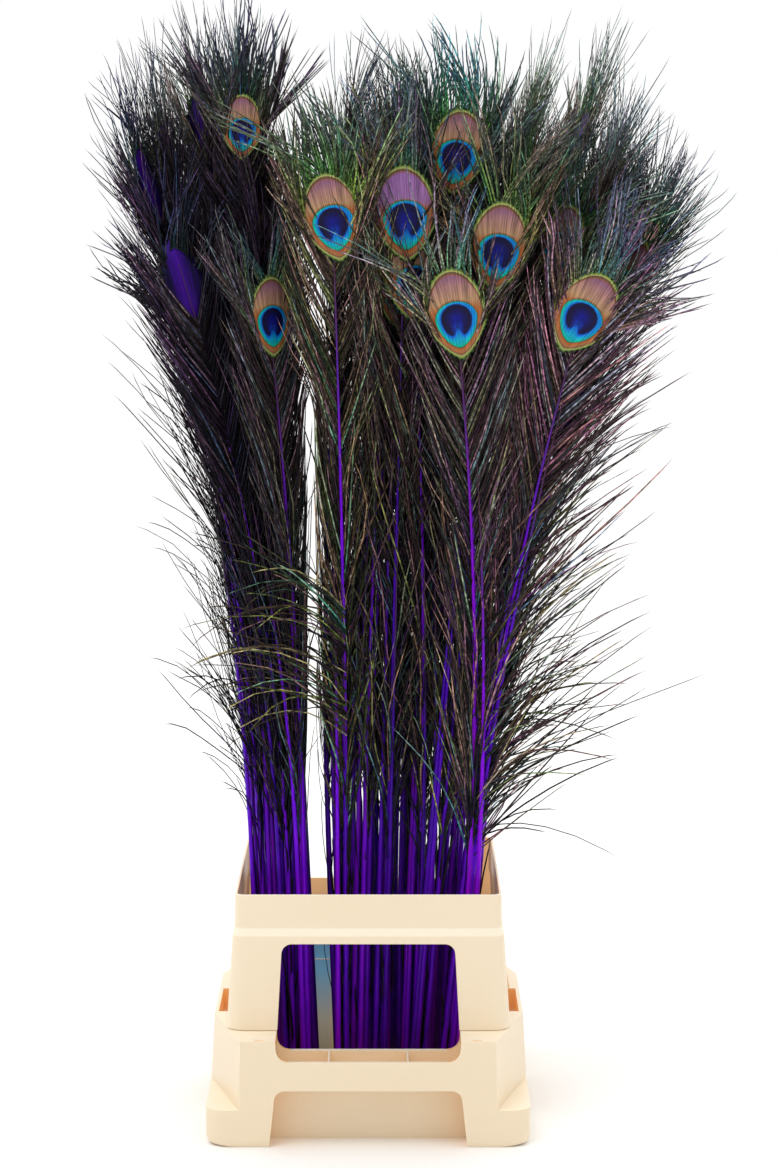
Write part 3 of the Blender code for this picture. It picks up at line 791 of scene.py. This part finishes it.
def addEye(parts, feather, angleCount):
    # a thin closed plate: the rings are on the front, the dyed back on the other side
    look = eyeLook
    tint = feather["tint"]
    angles = np.linspace(0, 2 * math.pi, angleCount, endpoint=False)
    shares, backShares = look["rings"], look["backRings"][::-1]
    half = look["thickness"] / 2
    rows = []
    flats = []

    def addRing(x, y, lift):
        bulge = look["bulge"] * (1 - (x / look["bulgeReach"]) ** 2 * 0.9)
        bulge = bulge - look["tipFall"] * np.maximum(y - look["fallFrom"], 0) ** 2
        rows.append(placeOnEye(feather, x, y) + (bulge + lift)[:, None] * feather["front"])
        flats.append(np.stack((x, y), axis=1))

    ragged = 1 + look["ragged"] * np.where(np.arange(angleCount) % 2 == 0, 1.0, -1.0)
    ragged += 0.5 * look["ragged"] * np.sin(angles * 7 + tint * 30)
    zero = np.zeros(1)
    addRing(zero, zero, half)
    for value in shares:
        x, y = eyeOutline(value, angles)
        if value == shares[-1]:
            addRing(x * ragged, y * ragged, half * look["edge"])
        else:
            addRing(x, y, half)
    for value in backShares:
        addRing(*eyeOutline(value, angles), -half)
    addRing(zero, zero, -half)
    start = parts.addPoints(np.concatenate(rows))
    flat = np.concatenate(flats)
    n = angleCount
    ringStarts = 1 + n * np.arange(len(shares) + len(backShares))
    last = ringStarts[-1] + n
    level = np.concatenate((zero, np.repeat(shares, n), np.repeat(backShares, n), zero))
    j = np.arange(n)
    nextJ = (j + 1) % n

    def lay(faces, isBack):
        xy = flat[faces]
        shade = pair(np.full(faces.shape, tint), feather["cast"]) if isBack else pair(level[faces])
        bake = xy * 3.0 + np.array((0.72 if isBack else 0.22, 0.80))
        parts.addFaces(start, faces, 3 if isBack else 2, plume=xy / 0.14 + 0.5, shade=shade, OFBake=bake)

    lay(np.stack((np.zeros(n, int), ringStarts[0] + j, ringStarts[0] + nextJ), axis=1), False)
    for k in range(len(ringStarts) - 1):
        a, b = ringStarts[k], ringStarts[k + 1]
        lay(np.stack((a + j, b + j, b + nextJ, a + nextJ), axis=1), k >= len(shares) - 1)
    lay(np.stack((ringStarts[-1] + j, np.full(n, last), ringStarts[-1] + nextJ), axis=1), True)


def barbCourse(barbs, leftBunch):
    # middle line of every barb: a curve from its root, kept inside the box and out of the gap
    look, reach, gap = barbLook, reachLook, gapLook
    u = np.array(look["steps"])[None, :, None]
    droop = np.zeros((len(barbs["base"]), 1, 3))
    droop[:, 0, 2] = -barbs["droop"]
    phase = barbs["phase"][:, None, None]
    wave = np.sin(u * math.pi * look["waveTurns"] + phase) - np.sin(phase)
    curl = barbs["curl"][:, None, None] * np.sin(u * look["curlTurns"] + phase) * u
    middle = barbs["base"][:, None, :] + barbs["length"][:, None, None] * (
        u * barbs["start"][:, None, :]
        + u ** 2 * (barbs["bend"][:, None, :] + droop)
        + look["wave"] * wave * barbs["front"][:, None, :]
        + look["curl"] * curl * barbs["side"][:, None, :]
    )
    ends = (-reach["noLimit"], gap["middle"] - gap["half"])
    if not leftBunch:
        ends = (gap["middle"] + gap["half"], reach["noLimit"])
    kept = softLimit(middle[:, :, 0], *ends, reach["gapSoft"])
    hold = np.clip((gap["top"] - middle[:, :, 2]) / gap["fade"], 0.0, 1.0) * (1 - barbs["free"])[:, None]
    middle[:, :, 0] += (kept - middle[:, :, 0]) * hold
    middle[:, :, 0] = softLimit(middle[:, :, 0], boxLow[0] - reach["side"], boxHigh[0] + reach["side"])
    middle[:, :, 1] = softLimit(middle[:, :, 1], boxLow[1] - reach["front"], boxHigh[1] + reach["front"])
    middle[:, :, 2] = softLimit(middle[:, :, 2], -reach["noLimit"], boxHigh[2] + reach["top"])
    return middle


def hidesEye(number, middle, chance):
    # true for barbs that would lie over an eye that shows, apart from a few
    look = clearLook
    viewer = np.array(cameraLook["place"])
    hides = np.zeros(len(middle), bool)
    for other, (place, share, narrow) in clearEyes.items():
        if other == number:
            continue
        reach = (place[1] - viewer[1]) / (middle[:, :, 1] - viewer[1])
        across = viewer[0] + (middle[:, :, 0] - viewer[0]) * reach - place[0]
        up = viewer[2] + (middle[:, :, 2] - viewer[2]) * reach - place[2] - look["raise"]
        over = (across / (look["halfWidth"] * narrow)) ** 2 + (up / look["halfHeight"]) ** 2 < 1
        over &= middle[:, :, 1] < place[1] + look["ahead"]
        hides |= over.any(axis=1) & (chance > share)
    return hides


def addBarbs(parts, feather, barbs, middle):
    # every barb, a row of the arrays in barbs, becomes a closed three-sided sliver
    look = barbLook
    rings = len(look["steps"]) - 1
    count = len(middle)
    u = np.array(look["steps"])[None, :, None]
    # painted shade: how deep in the bunch each barb lies; the stubs and fill barbs take it in full
    inside = insideBunch(middle, feather["left"]).mean(axis=1)
    inside = np.clip(inside + barbs["dark"] * 0.6, 0.0, 1.0)
    along = unit(np.gradient(middle, axis=1))
    wide = unit(np.cross(along, barbs["front"][:, None, :]))
    thick = np.cross(wide, along)
    halfWidth = barbs["halfWidth"][:, None, None] * (1 - look["taper"] * u ** 2)
    ridge = thick * np.minimum(halfWidth, look["thickness"]) * look["ridge"]
    ring = np.stack((middle + wide * halfWidth, middle + ridge, middle - wide * halfWidth), axis=2)[:, :rings]
    perBarb = rings * 3 + 1
    points = np.concatenate((ring.reshape(count, -1, 3), middle[:, -1:]), axis=1).reshape(-1, 3)
    start = parts.addPoints(points)
    first = (np.arange(count) * perBarb)[:, None]
    # on the baked texture the barbs lie in four columns, below the quills
    columns = 4
    rowHeight = 0.48 / math.ceil(count / columns)
    column = (np.arange(count) % columns)[:, None, None] / columns
    row = (np.arange(count) // columns)[:, None, None] * rowHeight + 0.005

    def lay(local, k, j):
        # local: faces within one barb; k and j: place along and around at each corner
        faces = (first[:, :, None] + local[None]).reshape(-1, local.shape[1])
        whole = np.zeros((count, *local.shape))
        plume = pair(k / rings + whole, barbs["zone"][:, None, None])
        shade = pair(barbs["chance"][:, None, None] + whole, feather["cast"])
        bake = pair(column + (0.012 + 0.97 * k / rings)[None] / columns, row + (j * 0.31)[None] * rowHeight)
        depth = pair(inside[:, None, None] + whole)
        parts.addFaces(start, faces, 1, plume=plume, shade=shade, depth=depth, OFBake=bake)

    k, j = np.meshgrid(np.arange(rings - 1), np.arange(3), indexing="ij")
    k, j = k.ravel(), j.ravel()
    n = (j + 1) % 3
    lay(np.stack((k * 3 + j, (k + 1) * 3 + j, (k + 1) * 3 + n, k * 3 + n), axis=1),
        np.stack((k, k + 1, k + 1, k), axis=1), np.stack((j, j, j + 1, j + 1), axis=1))
    j = np.arange(3)
    n = (j + 1) % 3
    base = (rings - 1) * 3
    lay(np.stack((base + j, np.full(3, perBarb - 1), base + n), axis=1),
        np.stack((np.full(3, rings - 1), np.full(3, rings), np.full(3, rings - 1)), axis=1),
        np.stack((j, j + 0.5, j + 1), axis=1))
    lay(np.array([[0, 1, 2]]), np.array([[0.0, -0.06, 0.0]]), np.array([[0.1, 0.5, 0.9]]))


# Barbs that grow from the quill, between the heights low and high. length and half width in metres; angle
# from the quill in degrees; bend towards the tip; droop; stray out of the plane; spread: degrees more at the
# bunch's outside; order: 1 for angles that follow the height, 0 for chance; wild: 1 if outer barbs bend more
barbDefaults = {"order": 0.0, "curl": 0.6, "wild": 1.0}
growLook = {
    "outerBelowEye": 0.12, "openTop": 0.8,             # where barbs start to spread, and may cross the gap
    "clumpWaves": (260.0, 97.0), "clumpShare": 0.12, "orderPlay": 0.10,
    "sideBend": 0.4, "outerBend": 0.35, "outerLength": 0.22, "outerDroop": 0.26,
    "rootBehind": 0.0010, "widths": (0.7, 1.25), "freeShare": 0.05,
    "zoneBelowEye": 0.60, "zoneHeight": 0.72,          # metres that the barbs' colour ramp covers
}
# From the loose barbs up to the eye: heights count from the eye's middle, share is of the feather's barbs
vaneZones = (
    {"low": -0.62, "high": -0.38, "share": 0.13, "length": (0.060, 0.185), "angle": (4, 20),
     "bend": (-0.25, 0.20), "droop": (0.00, 0.12), "stray": 0.18, "halfWidth": 0.00078, "spread": 50.0,
     "curl": 1.0},
    {"low": -0.38, "high": -0.22, "share": 0.13, "length": (0.080, 0.175), "angle": (7, 24),
     "bend": (-0.10, 0.18), "droop": (0.00, 0.05), "stray": 0.12, "halfWidth": 0.00080, "spread": 36.0,
     "curl": 0.8},
    {"low": -0.22, "high": -0.070, "share": 0.25, "length": (0.090, 0.140), "angle": (20, 31),
     "bend": (0.02, 0.14), "droop": (0.00, 0.02), "stray": 0.07, "halfWidth": 0.00080, "spread": 14.0,
     "order": 0.7},
    {"low": -0.070, "high": -0.012, "share": 0.15, "length": (0.085, 0.115), "angle": (27, 36),
     "bend": (0.10, 0.26), "droop": (0.00, 0.01), "stray": 0.06, "halfWidth": 0.00084, "spread": 4.0,
     "order": 0.6},
)
# Stubs low on the quills, which fill the bunch inside the container, darkened in full as painted shade
stubLook = {"count": 24, "low": 0.02, "high": 0.38, "length": (0.050, 0.120), "angle": (1, 7),
            "bend": (-0.04, 0.04), "droop": (0.0, 0.02), "stray": 0.05, "halfWidth": 0.0015, "spread": 0.0,
            "curl": 0.2, "wild": 0.0, "behind": 0.0}
# and wide barbs further up, in the feathers behind the front row, darkened the same way as painted shade
fillLook = {"count": 26, "low": 0.34, "high": 0.70, "length": (0.080, 0.150), "angle": (1, 9),
            "bend": (-0.05, 0.05), "droop": (0.0, 0.02), "stray": 0.05, "halfWidth": 0.0019, "spread": 0.0,
            "curl": 0.3, "wild": 0.0, "behind": 0.006}
# One feather of the right bunch has barbs that arch to the left over the gap
tuftFeather = "feather_20"
tuftLook = dict(vaneZones[0], count=46, low=0.375, high=0.50, length=(0.12, 0.20), angle=(30, 62),
                droop=(0.20, 0.55), ahead=0.02, light=1.5)
# The fringe around the eye, in clumps: angles in degrees from the eye's right
fringeLook = {"share": 0.34, "leftShare": 0.72, "length": (0.038, 0.094), "bend": (0.00, 0.22), "stray": 0.15,
              "halfWidth": 0.00080, "widths": (0.7, 1.2), "curl": 0.6, "sway": 0.10, "play": 0.06,
              "clumps": 13, "clumpSway": 0.17, "clumpCurl": 1.5, "clumpReach": (0.8, 1.15),
              "angles": (-30.0, 210.0), "angleStray": 8.0, "root": 0.86, "rootIn": 0.97, "rootAhead": 0.0016,
              "outward": 0.50, "upward": (0.80, 0.35), "zone": (0.78, 1.0)}


def growBarbs(rng, feather, zone, height, leans=None):
    # barbs on both sides of the quill at the given heights; leans: -1 for a barb on the left, 1 on the right
    look, growth = dict(barbDefaults, **zone), growLook
    count = len(height)
    eyeHeight, front = feather["eyeHeight"], feather["front"]
    base, along = followPath(feather["path"], height)
    way = np.where(rng.random(count) < 0.5, -1.0, 1.0) if leans is None else leans
    side = unit(np.cross(along, front))
    worldWay = np.sign(way * side[:, 0])
    place = acrossBunch(feather["left"], height, base[:, 0], 0.01)
    outward = np.clip(place * worldWay, 0.0, 1.0) ** 2
    outward *= np.clip((eyeHeight - height) / growth["outerBelowEye"], 0.0, 1.0)
    # none spread into the gap, apart from the right bunch's tops
    if feather["left"]:
        outward = np.where(worldWay > 0, 0.0, outward)
    else:
        outward = np.where((worldWay < 0) & (height < growth["openTop"]), 0.0, outward)
    rise = (height - height.min()) / max(height.max() - height.min(), 0.001)
    free = rng.random(count)
    clump = np.sin(height * growth["clumpWaves"][0] + way) * np.sin(height * growth["clumpWaves"][1])
    ordered = rise + growth["clumpShare"] * clump + growth["orderPlay"] * (free - 0.5)
    share = free + (ordered - free) * look["order"]
    angle = look["angle"][0] + (look["angle"][1] - look["angle"][0]) * share
    angle = np.radians(angle + look["spread"] * outward * rng.random(count))
    stray = rng.normal(0.0, look["stray"], count)
    start = np.cos(angle)[:, None] * along + (way * np.sin(angle))[:, None] * side + stray[:, None] * front
    bend = rng.uniform(*look["bend"], count)[:, None] * along
    bend -= (growth["sideBend"] * rng.uniform(*look["bend"], count) * way)[:, None] * side
    bend += (outward * rng.uniform(0.0, growth["outerBend"], count) * way * look["wild"])[:, None] * side
    length = rng.uniform(*look["length"], count)
    return {
        "base": base - growth["rootBehind"] * front,
        "start": unit(start),
        "bend": bend,
        "length": length * (1 + growth["outerLength"] * outward * rng.random(count)),
        "droop": rng.uniform(*look["droop"], count)
        + outward * rng.uniform(0.0, growth["outerDroop"], count) * look["wild"],
        "phase": rng.uniform(0, 2 * math.pi, count),
        "front": np.broadcast_to(front, (count, 3)),
        "side": side,
        "curl": rng.normal(0.0, look["curl"], count),
        "halfWidth": look["halfWidth"] * rng.uniform(*growth["widths"], count),
        "zone": np.clip((height - eyeHeight + growth["zoneBelowEye"]) / growth["zoneHeight"], 0.0, 1.0),
        "free": rng.random(count) < growth["freeShare"],
        "dark": np.zeros(count),
    }


def growVane(rng, feather, zone, crowd):
    count = int(crowd * zone["share"])
    steps = (np.arange(count) + rng.uniform(-0.5, 1.5, count)) / count
    height = feather["eyeHeight"] + zone["low"] + (zone["high"] - zone["low"]) * np.clip(steps, 0.0, 1.0)
    lowest = featherLook["vaneStart"] + featherLook["vaneStray"] * rng.random(count)
    return growBarbs(rng, feather, zone, np.maximum(height, lowest))


def growDark(rng, feather, look):
    height = rng.uniform(look["low"], look["high"], look["count"])
    group = growBarbs(rng, feather, look, height)
    group["base"] = group["base"] + np.array((0.0, look["behind"], 0.0))
    group["zone"] = np.zeros(look["count"])
    # the stubs and fill barbs take the painted shade in full
    group["dark"] = np.ones(look["count"])
    return group


def growTuft(rng, feather):
    look = tuftLook
    count = look["count"]
    group = growBarbs(rng, feather, look, rng.uniform(look["low"], look["high"], count), np.full(count, -1.0))
    group["base"] = group["base"] + look["ahead"] * feather["front"]
    group["free"] = np.ones(count, bool)
    # a negative dark share keeps the tuft's barbs out of the painted shade of the bunch
    group["dark"] = np.full(count, -look["light"])
    return group


def growFringe(rng, feather, crowd):
    # loose barbs that fan out from the eye's rim
    look = fringeLook
    side, along, front = feather["side"], feather["along"], feather["front"]
    count = int(crowd * look["share"] * (look["leftShare"] if feather["left"] else 1.0))
    clump = rng.integers(0, look["clumps"], count)
    clumpTurn = rng.normal(0.0, look["clumpSway"], look["clumps"])
    clumpCurl = rng.normal(0.0, 1.0, look["clumps"])
    clumpReach = rng.uniform(*look["clumpReach"], look["clumps"])
    clumpMiddle = np.linspace(*look["angles"], look["clumps"])
    angles = np.radians(clumpMiddle[clump] + rng.normal(0.0, look["angleStray"], count))
    x, y = eyeOutline(look["root"], angles)
    upward = look["upward"][0] + np.maximum(np.sin(angles), 0.0) * look["upward"][1]
    outward = unit(np.stack((np.cos(angles) * look["outward"], upward), axis=1))
    stray = rng.normal(0.0, look["stray"], count)
    start = outward[:, :1] * side + outward[:, 1:] * along + stray[:, None] * front
    start += (clumpTurn[clump] + rng.normal(0.0, look["play"], count))[:, None] * side
    sway = rng.normal(0.0, look["sway"]) + clumpTurn[clump]
    return {
        "base": placeOnEye(feather, x, y, look["rootIn"]) + look["rootAhead"] * front,
        "start": unit(start),
        "bend": rng.uniform(*look["bend"], count)[:, None] * along + sway[:, None] * side,
        "length": rng.uniform(*look["length"], count) * clumpReach[clump],
        "droop": np.zeros(count),
        "phase": rng.uniform(0, 2 * math.pi, count),
        "front": np.broadcast_to(front, (count, 3)),
        "side": np.broadcast_to(side, (count, 3)),
        "curl": look["clumpCurl"] * clumpCurl[clump] + rng.normal(0.0, look["curl"], count),
        "halfWidth": look["halfWidth"] * rng.uniform(*look["widths"], count),
        "zone": np.clip(0.80 + (y + 0.02) * 2.6, *look["zone"]),
        "free": np.ones(count, bool),
        "dark": np.zeros(count),
    }


def planFeather(rng, number, name):
    # where the feather stands, which way it faces, and what sets it apart
    look = featherLook
    own = ownLook.get(name, {})
    path = featherPaths[number]
    eyeHeight = findEyeHeight(number)
    leftBunch = number <= lastLeft
    chanceTurn = rng.choice((-1.0, 1.0)) * rng.uniform(*look["turn"])
    turn = math.radians(own.get("turn", chanceTurn))
    front = np.array((math.sin(turn), -math.cos(turn), 0.0))
    if name in backToFront:
        front = -front
    eyePlace, along = followPath(path, np.array([eyeHeight]))
    along = along[0]
    front = unit(front - along * (front @ along))
    side = np.cross(along, front)
    if name in backToFront:
        cast = look["dyedCast"]
    else:
        cast = rng.uniform(*(look["leftCast"] if leftBunch else look["rightCast"]))
    lean = math.radians(own.get("lean", 0.0))
    return {
        "path": path, "left": leftBunch, "eyeHeight": eyeHeight, "front": front,
        "side": math.cos(lean) * side - math.sin(lean) * along,
        "along": math.cos(lean) * along + math.sin(lean) * side,
        "eyeMiddle": eyePlace[0] + look["eyeAhead"] * front,
        "stretch": own.get("stretch", (1.0, 1.0)),
        "cast": own.get("cast", cast),
        "tint": rng.random(),
        "size": rng.uniform(*look["eyeSize"]),
    }


def addQuills(rng, parts, feather):
    # the feather's own quill, and bare ones beside it that stay within the bunch
    look = featherLook
    path = feather["path"]
    top = feather["eyeHeight"] + look["quillPastEye"] * feather["size"]
    addQuill(parts, feather, top, feather["tint"], look["quillSides"], look["quillRings"], np.zeros(3),
             look["bakeRow"])
    for extra in range(look["extraQuills"]):
        span = bunchSpans[feather["left"]][2]
        reach = rng.uniform(-1.0, 1.0) * look["extraReach"]
        reach = np.clip(path[1][2][0] + reach, *span) - path[1][2][0]
        offset = np.array((reach, rng.uniform(*look["extraBehind"]), 0.0))
        top, tint = rng.uniform(*look["extraTop"]), rng.random()
        bakeRow = look["bakeRow"] + look["bakeStep"] * (extra + 1)
        addQuill(parts, feather, top, tint, look["extraSides"], look["extraRings"], offset, bakeRow)


def makeFeather(number, name):
    rng = np.random.default_rng(featherLook["seed"] * 1000 + number)
    feather = planFeather(rng, number, name)
    isFront = name in frontRow
    crowd = featherLook["frontCrowd" if isFront else "crowd"]
    parts = MeshParts()
    addQuills(rng, parts, feather)
    addEye(parts, feather, eyeLook["frontAngles" if isFront else "angles"])
    groups = [growVane(rng, feather, zone, crowd) for zone in vaneZones]
    groups.append(growDark(rng, feather, stubLook))
    if not isFront:
        groups.append(growDark(rng, feather, fillLook))
    groups.append(growFringe(rng, feather, crowd))
    if name == tuftFeather:
        groups.append(growTuft(rng, feather))
    barbs = {key: np.concatenate([group[key] for group in groups]) for key in groups[0]}
    total = len(barbs["base"])
    tint = feather["tint"]
    # the sheen shifts slowly up the feather, and by chance from barb to barb
    tone = 0.5 + 0.30 * np.sin(barbs["base"][:, 2] * 45 + tint * 30) + rng.normal(0, 0.24, total)
    # the stubs and fill barbs take the near-black middle of the sheen ramp, as painted shade
    barbs["chance"] = np.where(barbs["dark"] > 0, 0.5, np.mod(tone + 0.25 * tint, 1.0))
    middle = barbCourse(barbs, feather["left"])
    kept = ~hidesEye(number, middle, rng.random(total))
    addBarbs(parts, feather, {key: value[kept] for key, value in barbs.items()}, middle[kept])
    piece = parts.build("plume_%02d" % number)
    front = pinkEyeMaterial if name in pinkEyes else eyeMaterial
    for material in (quillMaterial, barbMaterial, front, backMaterial):
        piece.data.materials.append(material)
    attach(piece, "root")
    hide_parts(name)
    return piece


triangles = 0
for number in range(1, 51):
    piece = makeFeather(number, "feather_%02d" % number)
    triangles += sum(len(polygon.vertices) - 2 for polygon in piece.data.polygons)
print("feathers made:", triangles, "triangles")


anywhere = (-9.0, 9.0)
wellSides, wellDepth = (0.134, 0.1462), (-0.079, 0.022)
slotSides, slotHeights = (0.097, 0.107), (0.0985, 0.1008)
# Patches that light reaches only through the wall: warmth, then spans in metres from the middle to either
# side, from front to back and up, and of the rise of the face's normal. Later rows go over earlier ones
warmPatches = (
    ("floor", 1.0, ((-1.0, 0.118), (-0.152, 0.152), (-1.0, 0.03), (0.6, 2.0))),
    ("trough", 0.32, ((-1.0, 0.088), (-0.1985, -0.153), (0.056, 0.083), (-0.9, 0.9))),
    ("wellBottom", 0.7, (wellSides, wellDepth, (0.075, 0.1005), anywhere)),
    ("wellTop", 1.0, (wellSides, wellDepth, (0.085, 0.1005), anywhere)),
    ("collarEar", 0.45, ((0.1325, 1.0), (0.024, 0.066), (-1.0, 0.138), anywhere)),
    ("backDip", 1.0, (anywhere, (0.10, 1.0), (0.150, 0.190), (0.3, 2.0))),
    ("backSlot", 1.0, (slotSides, (0.190, 1.0), slotHeights, anywhere)),
    ("frontSlot", 1.0, (slotSides, (-1.0, -0.190), slotHeights, anywhere)),
)
facingLook = {"sideShare": 1.7, "least": -0.01, "wallNormal": 0.7, "wallFrom": 0.12}


def findZone(slot, middle, normal):
    # how warm a face is painted, standing in for light that reaches it only through the wall, and 1 if it is
    # inside a left or right wall, where painted shade darkens it
    look = facingLook
    facesIn = normal.x * middle.x * look["sideShare"] + normal.y * middle.y < look["least"]
    warmth = 1.0 if facesIn else 0.0
    spot = (abs(middle.x), middle.y, middle.z, normal.z)
    for patch, patchWarmth, spans in warmPatches:
        within = all(low < value < high for value, (low, high) in zip(spot, spans))
        if within and (patch != "collarEar" or slot == "collar_plastic"):
            warmth = patchWarmth
    onSide = facesIn and abs(normal.x) > look["wallNormal"] and middle.z > look["wallFrom"]
    return warmth, float(onSide)


def makeContainerPiece(name, node, slot, outside):
    look = containerLook
    mesh = node.data.copy()
    mesh.name = name
    mesh.materials.clear()
    work = bmesh.new()
    work.from_mesh(mesh)
    bmesh.ops.remove_doubles(work, verts=work.verts, dist=0.00002)
    bmesh.ops.dissolve_limit(work, angle_limit=math.radians(1.0), verts=work.verts, edges=work.edges)
    for layer in list(work.loops.layers.uv):
        work.loops.layers.uv.remove(layer)
    work.to_mesh(mesh)
    work.free()
    stale = [a.name for a in mesh.attributes if a.name in ("custom_normal", "sharp_face", "sharp_edge")]
    for attribute in stale:
        mesh.attributes.remove(mesh.attributes[attribute])
    piece = bpy.data.objects.new(name, mesh)
    bpy.context.scene.collection.objects.link(piece)
    bevel = piece.modifiers.new("softEdges", "BEVEL")
    bevel.width = look["edgeRound"]
    bevel.segments = look["edgeSteps"]
    bevel.limit_method = "ANGLE"
    bevel.angle_limit = math.radians(look["sharpAngle"])
    bevel.use_clamp_overlap = True
    bevel.harden_normals = True
    bpy.context.view_layer.update()
    finished = bpy.data.meshes.new_from_object(piece.evaluated_get(bpy.context.evaluated_depsgraph_get()))
    piece.modifiers.clear()
    piece.data = finished
    finished.name = name
    zone = finished.uv_layers.new(name="zone")
    for polygon in finished.polygons:
        found = findZone(slot, polygon.center, polygon.normal)
        for corner in polygon.loop_indices:
            zone.data[corner].uv = found
    finished.materials.append(makePlastic(name + "Plastic", outside))
    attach(piece, "root")
    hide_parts(node.name)
    return piece


baseShell = makeContainerPiece(
    "baseShell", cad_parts["base"], "container_plastic", containerLook["front"])
collarShell = makeContainerPiece(
    "collarShell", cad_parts["collar"], "collar_plastic", containerLook["collarFront"])
print("container made:", len(baseShell.data.polygons), len(collarShell.data.polygons), "faces")

# Studio: a pale floor, soft lights, an even pale sky
world = bpy.data.worlds.new("studioSky")
bpy.context.scene.world = world
world.use_nodes = True
skyTree = world.node_tree
sky = skyTree.nodes["Background"]
skyParts = separate(skyTree, addNode(skyTree, "ShaderNodeTexCoord").outputs["Generated"])
skyEnds = (studioLook["skyFront"], studioLook["skyBack"])
towardsBack = remap(skyTree, skyParts[1], -0.30, 0.15, *skyEnds, smooth=True)
overhead = remap(skyTree, skyParts[2], 0.45, 0.85, 0.0, studioLook["skyTop"], smooth=True)
joinNodes(skyTree, plus(skyTree, towardsBack, overhead), sky.inputs["Strength"])
setInput(skyTree, sky.inputs["Color"], studioLook["skyColour"])

floorMesh = bpy.data.meshes.new("studioFloor")
reach = studioLook["floorReach"]
corners = [(-reach, -reach, 0), (reach, -reach, 0), (reach, reach, 0), (-reach, reach, 0)]
floorMesh.from_pydata(corners, [], [(0, 1, 2, 3)])
floor = bpy.data.objects.new("studioFloor", floorMesh)
bpy.context.scene.collection.objects.link(floor)
floorMesh.materials.append(
    newMaterial("palePaper", {"Base Color": studioLook["floorColour"], "Roughness": 0.9})[0])


def makeLight(name, power, place, size):
    data = bpy.data.lights.new(name, "AREA")
    data.energy = power
    data.size = size
    light = bpy.data.objects.new(name, data)
    light.location = place
    light.rotation_euler = (Vector(studioLook["aim"]) - Vector(place)).to_track_quat("-Z", "Y").to_euler()
    bpy.context.scene.collection.objects.link(light)


for key in ("key", "fill", "rim"):
    makeLight(key + "Light", studioLook[key + "Power"], studioLook[key + "Place"], studioLook[key + "Size"])

camera = bpy.data.objects.new("camera", bpy.data.cameras.new("camera"))
camera.data.lens = cameraLook["lens"]
camera.data.sensor_width = cameraLook["sensor"]
camera.data.dof.use_dof = False
camera.location = cameraLook["place"]
camera.rotation_euler = (math.radians(90.0 - cameraLook["tiltDown"]), 0.0, 0.0)
bpy.context.scene.collection.objects.link(camera)
bpy.context.scene.camera = camera
bpy.context.scene.view_settings.view_transform = "Standard"
print("studio made")
